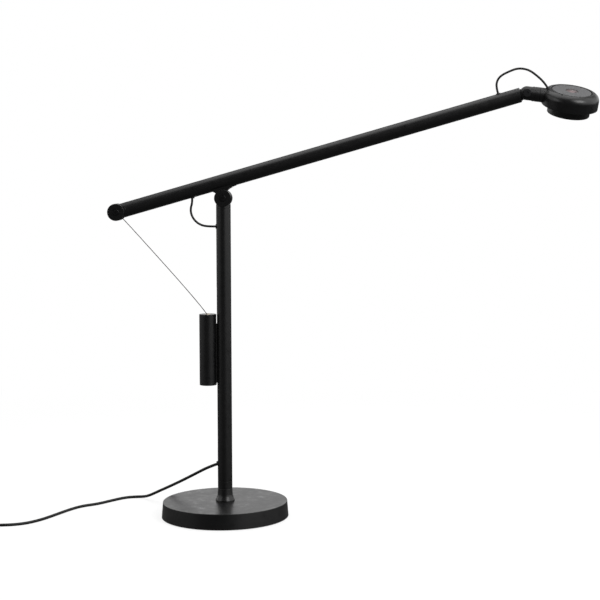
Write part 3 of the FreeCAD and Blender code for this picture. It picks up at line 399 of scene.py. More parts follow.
joints = {joint["name"]: joint for joint in frame["joints"]}
weight_axis = Vector(joints["wire_swing"]["pos_m"]) * Vector((1, 1, 0))
low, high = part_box("counterweight")
weight_r = (high.y - low.y) / 2
weight_edge = 0.4 * mm
rail_w, rail_head_w = 4.8 * mm, 8.6 * mm
rail_deep, rail_head_deep = 2.4 * mm, 5.0 * mm
rail_top = 268.2 * mm
socket_d, socket_h = 8.04 * mm, 9.0 * mm


def slab(x, y, z):
    """A cutter with square corners, from three pairs of low and high."""
    mesh = bmesh.new()
    bmesh.ops.create_cube(mesh, size=1.0)
    for vert in mesh.verts:
        spans = zip((x, y, z), vert.co)
        vert.co = Vector([low + (side + 0.5) * (high - low) for (low, high), side in spans])
    return finished("slab", mesh)


bar = turned("counterweight_bar", [
    (0, low.z, 0), (weight_r, low.z, 0.25 * mm), (weight_r, high.z, weight_edge), (0, high.z, 0)],
    weight_axis, sides=128)
face_x = weight_axis.x + weight_r
bar = cut(bar, [
    slab((face_x - rail_deep - 0.6 * mm, 0), (-rail_w / 2, rail_w / 2), (0, rail_top)),
    slab((face_x - rail_head_deep, face_x - rail_deep), (-rail_head_w / 2, rail_head_w / 2), (0, rail_top)),
    cutter(weight_axis + up * (high.z - socket_h), up, 2 * socket_h, socket_d)])
fit(bar, satin_black, "counterweight")

cap_low, cap_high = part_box("weight_end_cap")
screw_sink_r, screw_hole_r = 4.1 * mm, 2.05 * mm
cap = turned("counterweight_end_cap", [
    (screw_sink_r, cap_low.z, 0), (weight_r, cap_low.z, 0.8 * mm), (weight_r, cap_high.z, 0.25 * mm),
    (screw_hole_r, cap_high.z, 0), (screw_hole_r, cap_low.z + 2.1 * mm, 0)], weight_axis, sides=128)
fit(cap, satin_black, "weight_end_cap")

brass = metal("turned brass", (0.52, 0.36, 0.14), (0.66, 0.49, 0.22), 0.24, 0.5 * mm, 0.006 * mm)
blackened = metal(
    "blackened steel", (0.020, 0.020, 0.021), (0.038, 0.038, 0.040), 0.30, 0.4 * mm, 0.006 * mm)
smoothed("wire_anchor", brass)
smoothed("weight_cap_screw", blackened)


# ---- runner -----------------------------------------------------------------
# A moulded nylon-filled shoe that slides inside the stem.  Its rail passes out
# through the slot and into the groove of the counterweight.

shoe_black = moulded("moulded shoe", (0.014, 0.014, 0.014), (0.022, 0.021, 0.021), 0.5, 0.4 * mm, 0.02 * mm)
smoothed("weight_carriage", shoe_black)


# ---- arm pivot --------------------------------------------------------------
# A plug turned and milled from aluminium closes the stem, with two round cheeks.
# The axle between them carries the arm on two nylon washers.  A button-headed
# screw with a hexagon socket is let into the middle of each cheek.


class Rule:
    """A Geometry Nodes tree whose sizes are named inputs."""

    kinds = {float: "NodeSocketFloat", int: "NodeSocketInt", bpy.types.Object: "NodeSocketObject",
             bpy.types.Material: "NodeSocketMaterial", Vector: "NodeSocketVector"}

    def __init__(self, name, **inputs):
        self.tree = bpy.data.node_groups.new(name, "GeometryNodeTree")
        self.inputs = inputs
        for label, value in inputs.items():
            self.tree.interface.new_socket(label, in_out="INPUT", socket_type=self.kinds[type(value)])
        self.tree.interface.new_socket("Geometry", in_out="OUTPUT", socket_type="NodeSocketGeometry")
        given = self.tree.nodes.new("NodeGroupInput")
        self.given = {label: given.outputs[label] for label in inputs}

    def node(self, kind, settings=None, sockets=None, out=0):
        """Adds a node and gives one of its outputs."""
        made = self.tree.nodes.new(kind)
        for name, value in (settings or {}).items():
            setattr(made, name, value)
        for name, value in (sockets or {}).items():
            for source in value if isinstance(value, list) else [value]:
                if isinstance(source, bpy.types.NodeSocket):
                    self.tree.links.new(source, made.inputs[name])
                else:
                    made.inputs[name].default_value = source
        return made.outputs[out] if made.outputs else None

    def maths(self, operation, first, second):
        return self.node("ShaderNodeMath", {"operation": operation}, {0: first, 1: second})

    def made(self, name, geometry):
        """Ends the tree, runs it with its inputs and gives the result as a piece."""
        real = self.node("GeometryNodeRealizeInstances", None, {"Geometry": geometry})
        coated = self.node(
            "GeometryNodeSetMaterial", None, {"Geometry": real, "Material": self.given["Finish"]})
        self.node("NodeGroupOutput", None, {"Geometry": coated})
        carrier = bpy.data.objects.new(name, bpy.data.meshes.new(name))
        bpy.context.scene.collection.objects.link(carrier)
        modifier = carrier.modifiers.new("rule", "NODES")
        modifier.node_group = self.tree
        for item in self.tree.interface.items_tree:
            if item.in_out == "INPUT":
                modifier[item.identifier] = self.inputs[item.name]
        solid = carrier.evaluated_get(bpy.context.evaluated_depsgraph_get())
        mesh = bmesh.new()
        mesh.from_mesh(bpy.data.meshes.new_from_object(solid))
        bpy.data.objects.remove(carrier)
        return finished(name, mesh)


screw_head_r, screw_head_h = 4.5 * mm, 1.2 * mm
hexagon_r, hexagon_deep = 1.5 * mm, 0.9 * mm


def socket_screw(head_r, head_h, socket_r, socket_deep):
    """A low button head with a hexagon socket, its seat at the origin and its face up."""
    head = turned("socket_screw", [
        (0, 0, 0), (head_r, 0, 0), (head_r, head_h, 0.45 * mm), (0, head_h, 0)], sides=64)
    mesh = bmesh.new()
    bmesh.ops.create_cone(
        mesh, cap_ends=True, segments=6, radius1=socket_r, radius2=socket_r, depth=2 * socket_deep,
        matrix=Matrix.Translation((0, 0, head_h)))
    return cut(head, [finished("hexagon", mesh)])


def screw_pair(name, at, along, seat, finish, node):
    """Two screws that face away from each other, at at, each with its seat that far along."""
    screw = socket_screw(screw_head_r, screw_head_h, hexagon_r, hexagon_deep)
    rule = Rule(name, Screw=screw, Middle=Vector(at), Along=Vector(along), Seat=seat, Finish=finish)
    given = rule.given
    shape = rule.node("GeometryNodeObjectInfo", None, {"Object": given["Screw"]}, out="Geometry")
    sides = []
    for side in (-1.0, 1.0):
        reach = rule.maths("MULTIPLY", given["Seat"], side)
        way = rule.node("ShaderNodeVectorMath", {"operation": "SCALE"}, {0: given["Along"], "Scale": side})
        step = rule.node("ShaderNodeVectorMath", {"operation": "SCALE"}, {0: given["Along"], "Scale": reach})
        place = rule.node("ShaderNodeVectorMath", {"operation": "ADD"}, {0: given["Middle"], 1: step})
        turn = rule.node("FunctionNodeAlignRotationToVector", {"axis": "Z"}, {"Vector": way})
        dot = rule.node("GeometryNodePoints", None, {"Count": 1, "Position": place})
        sides.append(rule.node(
            "GeometryNodeInstanceOnPoints", None, {"Points": dot, "Instance": shape, "Rotation": turn}))
    both = rule.node("GeometryNodeJoinGeometry", None, {"Geometry": sides})
    pair = rule.made(name, both)
    bpy.data.objects.remove(screw)
    fit(pair, finish, node)


satin_alloy = powder_coat(
    "satin black on aluminium", (0.0028, 0.0028, 0.0030), (0.0052, 0.0052, 0.0055), 0.31)
across = Vector((0, 1, 0))
cheek_floor = 9.2 * mm
pivot = Vector(joints["arm_tilt"]["pos_m"])
smoothed("stem_top_plug", satin_alloy)
screw_pair("pivot_screw_heads", pivot, across, cheek_floor, blackened, "pivot_cap_screws")
smoothed("pivot_washers", nylon)
paint_node(zinc, "pivot_axle")


# ---- arm --------------------------------------------------------------------
# The long tube is the same steel tube as the stem.  A saddle of cast aluminium,
# bolted to it from inside through a steel strip, hangs it on the pivot's axle.

smoothed("saddle_bracket", satin_alloy)
paint_node(zinc, "saddle_strip", "saddle_screws")

head_hinge = Vector(joints["head_tilt"]["pos_m"])
arm_angle = math.radians(16)
arm_rise = 22.2 * mm
arm_way = Vector((math.cos(arm_angle), 0, math.sin(arm_angle)))
arm_up = across.cross(arm_way) * -1
arm_zero = pivot + arm_up * arm_rise
arm_start, arm_stop = -132.2 * mm, 423.1 * mm
low_hole, high_hole = -41.0 * mm, 399.7 * mm
arm = turned("arm_tube_drilled", [
    (tube_r, arm_start, 0.2 * mm), (tube_r, arm_stop, 0.2 * mm),
    (tube_r - tube_wall, arm_stop, 0), (tube_r - tube_wall, arm_start, 0)], arm_zero, arm_way, 128)
arm = cut(arm, [
    cutter(arm_zero + arm_way * low_hole - arm_up * tube_r - up * 6 * mm, up, 10 * mm, loop_hole_d),
    cutter(arm_zero + arm_way * high_hole + arm_up * tube_r / 2, arm_up, tube_r, loop_hole_d)])
fit(arm, satin_black, "arm_tube")


# ---- tail of the arm --------------------------------------------------------
# The same plug as on the stem closes the arm's tail.  Two stub screws pass
# through its cheeks and hold the end of the wire between them.

tail_reach = 146.2 * mm
tail_hub = arm_zero - arm_way * tail_reach
smoothed("tail_plug", satin_alloy)
screw_pair("tail_screw_heads", tail_hub, across, cheek_floor, blackened, "tail_stub_screws")


# ---- pull wire --------------------------------------------------------------
# A thin wire rope of seven stainless strands, six laid round one, from the arm's
# tail to the counterweight.  Each end is soldered into a small brass barrel.


def route_along(points, steps=12):
    """The smooth line that a free cable takes along its points, as a curve."""
    curve = bpy.data.curves.new("route", "CURVE")
    curve.dimensions = "3D"
    curve.resolution_u = steps
    spline = curve.splines.new("NURBS")
    spline.points.add(len(points) - 1)
    for knot, point in zip(spline.points, points):
        knot.co = (*point, 1.0)
    spline.order_u = 3
    spline.use_endpoint_u = True
    route = bpy.data.objects.new("route", curve)
    bpy.context.scene.collection.objects.link(route)
    bpy.context.view_layer.update()
    return route


wire_d, wire_end_gap = 1.1 * mm, 4.4 * mm
wire_low = Vector(joints["wire_swing"]["pos_m"])
wire_high = tail_hub + (wire_low - tail_hub).normalized() * wire_end_gap
route = route_along([
    wire_low, wire_low + Vector((-8.5, 0, 13.6)) * mm,
    tail_hub + Vector((12.6, 0, -12.9)) * mm, wire_high])
strand_steel = metal("stainless strands", grey(0.035), grey(0.07), 0.42, 0.3 * mm, 0.002 * mm)
rule = Rule("wire rope", Route=route, Strand=wire_d / 6, Lay=9 * mm, Step=0.4 * mm, Strands=6,
            Finish=strand_steel)
given = rule.given
path = rule.node("GeometryNodeObjectInfo", None, {"Object": given["Route"]}, out="Geometry")
path = rule.node("GeometryNodeResampleCurve", {"mode": "LENGTH"}, {"Curve": path, "Length": given["Step"]})
travelled = rule.node("GeometryNodeSplineParameter", None, None, out="Length")
twist = rule.maths("MULTIPLY", rule.maths("DIVIDE", travelled, given["Lay"]), 2 * math.pi)
path = rule.node("GeometryNodeSetCurveTilt", None, {"Curve": path, "Tilt": twist})
strand = rule.node("GeometryNodeCurvePrimitiveCircle", None, {"Resolution": 8, "Radius": given["Strand"]})
lay_r = rule.maths("MULTIPLY", given["Strand"], 2.0)
places = rule.node(
    "GeometryNodeCurvePrimitiveCircle", None, {"Resolution": given["Strands"], "Radius": lay_r})
laid = rule.node("GeometryNodeInstanceOnPoints", None, {"Points": places, "Instance": strand})
section = rule.node("GeometryNodeJoinGeometry", None, {"Geometry": [laid, strand]})
section = rule.node("GeometryNodeRealizeInstances", None, {"Geometry": section})
rope = rule.node(
    "GeometryNodeCurveToMesh", None, {"Curve": path, "Profile Curve": section, "Fill Caps": True})
wire = rule.made("pull_wire_strands", rope)
bpy.data.objects.remove(route)
fit(wire, strand_steel, "pull_wire")
smoothed("wire_nipples", brass)


# ---- neck -------------------------------------------------------------------
# The arm's nose ends in a flat tongue.  A fork turned from aluminium takes it
# between its cheeks on a pin with a wide flat head, and carries the lamp's head on
# a shaft, so that the head tilts and rolls.

smoothed("head_plug", satin_alloy)
smoothed("neck_fork", satin_alloy)
smoothed("head_hinge_pin", blackened)
smoothed("hinge_washers", nylon)
paint_node(zinc, "neck_clip")


# ---- head shell -------------------------------------------------------------
# A round shallow housing of cast aluminium with a soft upper shoulder and a short
# boss that meets the neck.  It carries everything that makes light.

smoothed("head_shell", satin_alloy, math.radians(34))

neck_way = Vector(joints["head_swivel"]["axis"])
head_up = Vector(joints["button_press"]["axis"]) * -1
head_reach = 60.0 * mm
head_middle = head_hinge + neck_way * head_reach


# ---- lamp ring and light ----------------------------------------------------
# The light stands in a ring under the housing, behind an opal sheet that rests on
# the ring's lip.  Behind it are a white reflector, the board with the diodes and
# a finned sink of bare cast aluminium, held up by three screws.

ring_r, ring_inner_r, lip_r = 29.0 * mm, 27.0 * mm, 25.6 * mm
ring_seat, ring_flange, flange_r = -9.0 * mm, 1.5 * mm, 32.5 * mm
ring_low, lip_t = -22.0 * mm, 1.0 * mm
ring = turned("lamp_ring_turned", [
    (ring_inner_r, ring_seat + ring_flange, 0), (flange_r, ring_seat + ring_flange, 0.2 * mm),
    (flange_r, ring_seat, 0), (ring_r, ring_seat, 0), (ring_r, ring_low, 1.2 * mm),
    (lip_r, ring_low, 0.3 * mm), (lip_r, ring_low + lip_t, 0), (ring_inner_r, ring_low + lip_t, 0)],
    head_middle, head_up, 160)
fit(ring, satin_alloy, "lamp_ring")

opal = Paint(bpy.data.materials.new("opal sheet"))
haze = opal.grain(6 * mm, 2.0)
opal_sheet = opal.surface(
    opal.between(haze, (0.80, 0.79, 0.76), (0.84, 0.83, 0.80)), 0.38 + 0.06 * haze, haze, 0.004 * mm,
    **{"Subsurface Weight": 0.25, "Subsurface Scale": 2 * mm})
sheet_low = ring_low + lip_t
diffuser = turned("diffuser_sheet", [
    (0, sheet_low + 2 * mm, 0), (ring_inner_r - 0.1 * mm, sheet_low + 2 * mm, 0),
    (ring_inner_r - 0.1 * mm, sheet_low, 0.2 * mm), (0, sheet_low, 0)], head_middle, head_up, 128)
fit(diffuser, opal_sheet, "diffuser")

white_gloss = moulded(
    "white moulding", (0.78, 0.78, 0.77), (0.82, 0.82, 0.81), 0.25, 1 * mm, 0.002 * mm, 0.5)
white_mask = moulded(
    "white solder mask", (0.70, 0.70, 0.69), (0.76, 0.76, 0.75), 0.35, 0.5 * mm, 0.003 * mm)
green_mask = moulded(
    "green solder mask", (0.02, 0.11, 0.045), (0.03, 0.15, 0.06), 0.32, 0.5 * mm, 0.004 * mm)
bare_cast = metal(
    "bare cast aluminium", (0.55, 0.55, 0.56), (0.70, 0.70, 0.71), 0.42, 0.7 * mm, 0.04 * mm)
paint_node(white_gloss, "reflector")
paint_node(white_mask, "led_board")
paint_node(bare_cast, "heat_sink")
paint_node(zinc, "head_screws")
paint_node(green_mask, "dimmer_board")
paint_node(shoe_black, "dimmer_switch")


# ---- top plate and button ---------------------------------------------------
# A disc of aluminium, bead-blasted and anodised dark grey, lies in the housing's
# recess.  The dished push button in its middle switches and dims the lamp.

plate_r, plate_hole_r = 26.6 * mm, 8.75 * mm
plate_low, plate_high = 9.3 * mm, 10.8 * mm
blasted = Paint(bpy.data.materials.new("bead-blasted dark grey"))
beads = blasted.grain(0.22 * mm, 2.0)
glints = blasted.grain(0.5 * mm, 3.0) ** 6.0
clouds = blasted.grain(20 * mm, 2.0)
plate_grey = blasted.surface(
    blasted.between(clouds * 0.5 + beads * 0.5, (0.066, 0.066, 0.068), (0.098, 0.098, 0.101)),
    0.56 + 0.06 * clouds - 1.2 * glints, beads, 0.02 * mm, Metallic=0.2,
    **{"Specular IOR Level": 0.3})
plate = turned("top_plate_disc", [
    (plate_hole_r, plate_high, 0.3 * mm), (plate_r, plate_high, 0.3 * mm), (plate_r, plate_low, 0),
    (plate_hole_r, plate_low, 0)], head_middle, head_up, 128)
fit(plate, plate_grey, "top_plate")

button_r, button_high, button_dish = 8.5 * mm, 10.4 * mm, 1.4 * mm
lip_high, lip_low, lip_wide = 9.2 * mm, 8.2 * mm, 1.6 * mm
plunger_r, plunger_low = 1.8 * mm, 2.8 * mm
button = turned("dimmer_button_dished", [
    (0, button_high - button_dish, 0), (0.55 * button_r, button_high - 0.78 * button_dish, 6 * mm),
    (button_r - 1 * mm, button_high, 0.5 * mm), (button_r, button_high, 0.3 * mm), (button_r, lip_high, 0),
    (button_r + lip_wide, lip_high, 0), (button_r + lip_wide, lip_low, 0), (plunger_r, lip_low, 0),
    (plunger_r, plunger_low, 0.3 * mm), (0, plunger_low, 0)], head_middle, head_up, 96)
# The button's colour paints light: a bright rose painted glint in the middle of the dish, fading to painted
# shade at its rim.
rose = Paint(bpy.data.materials.new("rose-tinted dark moulding"))
from_middle = rose.node("VectorMath", {"operation": "DISTANCE"}, {
    0: rose.node("TexCoord", out="Object"), 1: tuple(head_middle + head_up * (button_high - button_dish))},
    out="Value")
# How much painted rim shade: none in the middle of the dish, full towards the rim.
rim_shade_share = rose.node("MapRange", None, {
    "Value": from_middle, "From Min": 0.25 * button_r, "From Max": 0.85 * button_r})
mottle = rose.grain(0.6 * mm, 3.0)
rose_glint_and_rim_shade = rose.surface(
    rose.between(rim_shade_share, (0.16, 0.115, 0.118), (0.030, 0.018, 0.018)), 0.34 + 0.1 * mottle,
    mottle, 0.006 * mm)
fit(button, rose_glint_and_rim_shade, "dimmer_button")


# ---- grommets ---------------------------------------------------------------
# Small rings of black rubber, pressed into each hole that a cable leaves by.

grommet_lip = 0.7 * mm
soft_rubber = moulded("moulded rubber", grey(0.011), grey(0.018), 0.55, 0.3 * mm, 0.01 * mm, 0.35)
for grommet in ("cord_bush", "stem_grommet", "arm_grommets", "head_grommet"):
    smoothed(grommet, soft_rubber)


# ---- cable loops ------------------------------------------------------------
# A thin round cable with a black jacket runs up inside the stem and along inside
# the arm.  It comes out in a free loop at each joint, with slack for the motion.


def jacket(name, line, d, sides=20):
    """A round jacket along a line, with its length and girth, in metres, as its UV map."""
    mesh = bmesh.new()
    uv = mesh.loops.layers.uv.new("jacket")
    ways = [(b - a).normalized() for a, b in zip(line[:1] + line[:-1], line[1:] + line[-1:])]
    side = ways[0].orthogonal().normalized()
    turns = [2 * math.pi * k / sides for k in range(sides)]
    rows, along = [], [0.0]
    for k, (at, way) in enumerate(zip(line, ways)):
        side = (side - way * side.dot(way)).normalized()
        other = way.cross(side)
        girth = [at + (side * math.cos(t) + other * math.sin(t)) * d / 2 for t in turns]
        rows.append([mesh.verts.new(point) for point in girth])
        along.append(along[-1] + (line[min(k + 1, len(line) - 1)] - at).length)
    for k in range(len(rows) - 1):
        for i in range(sides):
            j = (i + 1) % sides
            face = mesh.faces.new((rows[k][i], rows[k][j], rows[k + 1][j], rows[k + 1][i]))
            places = ((k, i), (k, i + 1), (k + 1, i + 1), (k + 1, i))
            for loop, (reach, turn) in zip(face.loops, places):
                loop[uv].uv = (along[reach], turn * math.pi * d / sides)
    mesh.faces.new(rows[0][::-1])
    mesh.faces.new(rows[-1])
    bmesh.ops.recalc_face_normals(mesh, faces=mesh.faces)
    return finished(name, mesh)


def cable_skin(name, low, high, rough):
    """An extruded PVC jacket: faint lengthwise draw lines and a slightly uneven gloss."""
    paint = Paint(bpy.data.materials.new(name))
    run = paint.node("UVMap", {"uv_map": "jacket"})
    lines = paint.grain(1.2 * mm, 2.0, (0.05, 3, 1), run)
    patches = paint.grain(18 * mm, 2.0, (1, 2, 1), run)
    return paint.surface(
        paint.between(patches, low, high), rough + 0.12 * patches, lines, 0.004 * mm,
        **{"Specular IOR Level": 0.25})


pvc_black = cable_skin("black PVC jacket", grey(0.0035), grey(0.0065), 0.46)


def line_along(points, steps=12):
    """The places along a free cable's smooth line."""
    route = route_along(points, steps)
    line = bpy.data.meshes.new_from_object(route.evaluated_get(bpy.context.evaluated_depsgraph_get()))
    bpy.data.objects.remove(route)
    return [vert.co.copy() for vert in line.vertices]


def free_cable(name, line, d, *nodes):
    """A cable's jacket in the place of these nodes."""
    cable = jacket(name, line, d)
    cable.modifiers.clear()
    cable.data.materials.append(pvc_black)
    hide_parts(*nodes)
    return cable


cable_d = 3.0 * mm
low_exit = arm_zero + arm_way * low_hole - arm_up * tube_r
stem_exit = Vector((-tube_r - grommet_lip, 0, loop_hole_z))
low_finish = low_exit - up * grommet_lip
line = line_along([
    stem_exit, Vector((-20.5, 0, 401.6)) * mm, Vector((-30.5, 0, 403.2)) * mm,
    Vector((-38.8, 0, 408.8)) * mm, Vector((-44.0, 0, 417.0)) * mm, Vector((-45.2, 0, 426.0)) * mm,
    low_finish - up * 6.5 * mm, low_finish])
low_loop = free_cable("stem_loop_jacket", line, cable_d, "stem_loop_cable")
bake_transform(low_loop)
paint_node(pvc_black, "stem_inner_cable", "arm_inner_cable")


# ---- cable loop to the head -------------------------------------------------
# The upper loop leaves the arm before the hinge, rises over the neck and goes down
# into the housing's shoulder.  It is made in two halves, split at its highest point.

high_start = arm_zero + arm_way * high_hole + arm_up * (tube_r + grommet_lip)
entry_reach, entry_rise = 27.274 * mm, 10.063 * mm
entry = head_hinge + neck_way * entry_reach + head_up * entry_rise
entry_lean = math.radians(55)
entry_way = head_up * math.sin(entry_lean) - neck_way * math.cos(entry_lean)
apex = Vector((402.0, 0, 616.2)) * mm
line = line_along([
    high_start, Vector((372.7, 0, 590.8)) * mm, Vector((373.8, 0, 599.4)) * mm,
    Vector((379.2, 0, 606.2)) * mm, Vector((389.2, 0, 611.3)) * mm, apex,
    Vector((416.0, -1.2, 614.2)) * mm, Vector((427.6, -3.2, 605.8)) * mm,
    entry + entry_way * 8 * mm, entry])
top = min(range(len(line)), key=lambda k: (line[k] - apex).length)
halves = [("head_loop_arm_half", line[:top + 1], "arm", "neck"),
          ("head_loop_head_half", line[top:], "neck", "head")]
for name, part, from_body, to_body in halves:
    half = free_cable(name, part, cable_d, "head_loop_cable")
    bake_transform(half)


# ---- mains cord -------------------------------------------------------------
# A round cord of about two metres leaves the back of the stem, lies on the table
# and is wound into a flat coil of four layers, with its plug beside it.

cord_d = 4.0 * mm
cord_exit = Vector((-tube_r, 0, cord_hole_z))

# The places of the coil and of the plug are in millimetres.
coil_x, coil_y = -352.0, -33.5
coil_outer, coil_low = 29.575, 2.8
coil_pitch, coil_layer, layers = 5.4, 4.7, 4
spiral_turns, climb_turns, last_turns = 2.25, 0.5, 2.0
knots_per_turn = 16
plug_x, plug_z = -383.35, 13.0
relief_start, plug_start, plug_end = 22.5, 44.5, 94.5


def coil_knot(turns):
    """A knot of the coil's line.  The line touches the middle of each chord between
    two knots, so the knots stand a little outside it."""
    period = spiral_turns + climb_turns
    layer = min(int(turns / period), layers - 1)
    within = turns - layer * period
    share = min(within / spiral_turns, 1.0)
    if layer % 2:
        share = 1.0 - share
    radius = (coil_outer - coil_pitch * spiral_turns * share) / math.cos(math.pi / knots_per_turn)
    climb = min(max((within - spiral_turns) / climb_turns, 0.0), 1.0)
    height = coil_low + coil_layer * (layer + climb * climb * (3 - 2 * climb))
    turn = -math.pi / 2 - 2 * math.pi * turns
    return (coil_x + radius * math.cos(turn), coil_y + radius * math.sin(turn), height)


free_run = [
    (-36.5, 10, 60.3), (-51.8, 27, 49.9), (-69.3, 46, 38.3), (-88.2, 64.5, 26.7), (-105, 81.5, 16.6),
    (-118.5, 97, 8), (-128.5, 108, 3.2), (-142, 112.4, 2), (-157, 107, 2), (-172.5, 88, 2), (-190, 64, 2),
    (-208.5, 52, 2), (-221.5, 31, 2), (-235, -1, 2), (-250.5, -36, 2), (-270, -58.5, 2), (-298, -66, 2),
    (-324, -63.075, 2.8), (-348, -63.075, 2.8)]
coil_turns = (layers - 1) * (spiral_turns + climb_turns) + last_turns
wound = [coil_knot((k + 0.5) / knots_per_turn) for k in range(int(coil_turns * knots_per_turn))]
tail_run = [
    (-380.35, -29.5, 16.9), (-380.35, -15.5, 16.9), (plug_x, relief_start - 20, plug_z),
    (plug_x, relief_start, plug_z), (plug_x, plug_start + 10, plug_z)]
knots = [cord_exit + cord_way * grommet_lip, cord_exit + cord_way * 13.8 * mm]
knots += [Vector(point) * mm for point in free_run + wound + tail_run]
cord_line = line_along(knots, 6)
mains = free_cable("mains_cord_jacket", cord_line, cord_d, "mains_cord", "cord_coil", "cord_tail")
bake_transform(mains)


# ---- coil tie ---------------------------------------------------------------
# A flat strap of soft black plastic holds the turns of the coil together.

tie_t, tie_w, tie_bend = 0.8 * mm, 6.0 * mm, 1.8 * mm
slack = 0.4


def strap(name, left, right, low, high, middle, thick, width, bend):
    """A flat loop about the Y axis, between an inner outline and one that much larger."""
    rows = []
    for more in (0, thick):
        reach = bend + more
        outline = rounded([(left - more, low - more, reach), (right + more, low - more, reach),
                           (right + more, high + more, reach), (left - more, high + more, reach)])
        for y in (middle - width / 2, middle + width / 2):
            rows.append([Vector((point.x, y, point.y)) for point in outline])
    mesh = bmesh.new()
    rings = [[mesh.verts.new(point) for point in rows[k]] for k in (0, 1, 3, 2)]
    count = len(rings[0])
    for ring, following in zip(rings, rings[1:] + rings[:1]):
        for k in range(count):
            mesh.faces.new((ring[k], ring[(k + 1) % count], following[(k + 1) % count], following[k]))
    bmesh.ops.recalc_face_normals(mesh, faces=mesh.faces)
    return finished(name, mesh)


cord_half = cord_d / mm / 2
coil_half = coil_outer + cord_half + slack
coil_hole = coil_outer - coil_pitch * spiral_turns - cord_half - slack
coil_top = coil_low + coil_layer * (layers - 1) + cord_half + slack
tie = strap(
    "coil_tie_strap", (coil_x - coil_half) * mm, (coil_x - coil_hole) * mm, tie_t, coil_top * mm,
    coil_y * mm, tie_t, tie_w, tie_bend)
fit(tie, shoe_black, "coil_tie")


# ---- mains plug -------------------------------------------------------------
# A two-pin plug moulded onto the cord, with hollows for the fingers and a ribbed
# sleeve that takes the bend.  Its nickel-plated pins are insulated half way.


def lofted(name, sections, at, sides=48, power=4.0):
    """A body through rounded sections of (along Y, half width, half height)."""
    mesh = bmesh.new()
    rows = []
    for y, wide, tall in sections:
        row = []
        for k in range(sides):
            turn = 2 * math.pi * k / sides
            c, s = math.cos(turn), math.sin(turn)
            x = wide * math.copysign(abs(c) ** (2 / power), c)
            z = tall * math.copysign(abs(s) ** (2 / power), s)
            row.append(mesh.verts.new(Vector(at) + Vector((x, y, z))))
        rows.append(row)
    for row, following in zip(rows, rows[1:]):
        for k in range(sides):
            j = (k + 1) % sides
            mesh.faces.new((row[k], row[j], following[j], following[k]))
    mesh.faces.new(rows[0])
    mesh.faces.new(rows[-1])
    bmesh.ops.recalc_face_normals(mesh, faces=mesh.faces)
    return finished(name, mesh)


plug_at = Vector((plug_x, plug_start, plug_z)) * mm
grip = [
    (0, 7.5, 7.0), (0.6, 9.0, 8.4), (2.5, 11.0, 9.6), (6, 13.0, 10.8), (11, 14.2, 11.4),
    (17, 13.9, 10.7), (23, 13.6, 10.0), (29, 14.2, 10.6), (35, 15.8, 12.0), (40, 16.8, 12.8),
    (44, 17.0, 13.0), (48.6, 17.0, 13.0), (49.6, 16.7, 12.7), (50, 16.0, 12.0)]
plug = lofted("plug_body_moulded", [(y * mm, wide * mm, tall * mm) for y, wide, tall in grip], plug_at)
plug_black = moulded("moulded plug", grey(0.012), grey(0.020), 0.48, 0.3 * mm, 0.012 * mm)
fit(plug, plug_black, "plug_body")

rib_count, rib_share, rib_deep = 6, 0.62, 0.9 * mm
rib_small_r, rib_large_r = 3.0 * mm, 5.0 * mm
relief_lead, relief_root_r = 0.4 * mm, 4.0 * mm
relief_len = (plug_start - relief_start) * mm
ribs = [(0, relief_lead, 0)]
for k in range(rib_count):
    rib_r = rib_small_r + (rib_large_r - rib_small_r) * (k + 0.5) / rib_count
    rib_low = relief_lead + relief_len * k / rib_count
    rib_high = relief_lead + relief_len * (k + rib_share) / rib_count
    ribs += [(rib_r - rib_deep, rib_low, 0), (rib_r, rib_low, 0.3 * mm),
             (rib_r, rib_high, 0.3 * mm), (rib_r - rib_deep, rib_high, 0)]
ribs += [(relief_root_r, relief_len, 0), (0, relief_len, 0)]
relief = turned("plug_relief_ribs", ribs, Vector((plug_x, relief_start, plug_z)) * mm, across, 48)
relief.data.materials.append(plug_black)
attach(relief, "base")


def joined(name, pieces):
    """One piece from several."""
    mesh = bmesh.new()
    for piece in pieces:
        mesh.from_mesh(piece.data)
        bpy.data.objects.remove(piece)
    return finished(name, mesh)


pin_spread, pin_len, pin_r, pin_tip = 19.0 * mm, 19.0 * mm, 2.0 * mm, 1.4 * mm
cuff_len, cuff_r, cuff_root = 9.0 * mm, 1.96 * mm, 0.2 * mm
nickel = metal("nickel plate", (0.48, 0.46, 0.43), (0.60, 0.58, 0.54), 0.20, 0.5 * mm, 0.004 * mm)
pins, sleeves = [], []
for side in (-1, 1):
    pin_at = Vector((plug_x, plug_end, plug_z)) * mm + Vector((side * pin_spread / 2, 0, 0))
    pins.append(turned("pin", [
        (0, cuff_len, 0), (pin_r, cuff_len, 0), (pin_r, pin_len, pin_tip), (0, pin_len, 0)],
        pin_at, across, 40))
    sleeves.append(turned("sleeve", [
        (0, -cuff_root, 0), (cuff_r, -cuff_root, 0), (cuff_r, cuff_len, 0.2 * mm), (0, cuff_len, 0)],
        pin_at, across, 40))
pins = joined("plug_pins_plated", pins)
fit(pins, nickel, "plug_pins")
sleeves = joined("plug_pin_sleeves", sleeves)
sleeves.data.materials.append(plug_black)
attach(sleeves, "base")


# ---- stage ------------------------------------------------------------------
# A white table without an edge in a white room, as in a product picture.  A large
# soft light stands to the right, a weak one to the left and one overhead.

table_white, table_glow, table_in_coats = 0.22, 0.77, 0.12
fade_start, fade_end = 0.5, 1.3
floor_reach = 6.0


def straight(paint):
    """1 for what the camera sees, also through clear pieces, and 0 for other rays."""
    camera_ray = paint.node("LightPath", out="Is Camera Ray")
    clear_ray = paint.node("LightPath", out="Is Transmission Ray")
    return camera_ray.maths("MAXIMUM", camera_ray, clear_ray)


def glow(strength):
    """The table's own white light."""
    return table.node("Emission", None, {"Color": grey(1.0), "Strength": strength})


def rising(paint, value, low, high, level=1.0):
    """A smooth rise from nothing at low to level at high."""
    return paint.node("MapRange", {"interpolation_type": "SMOOTHSTEP"}, {
        "Value": value, "From Min": low, "From Max": high, "To Max": level})


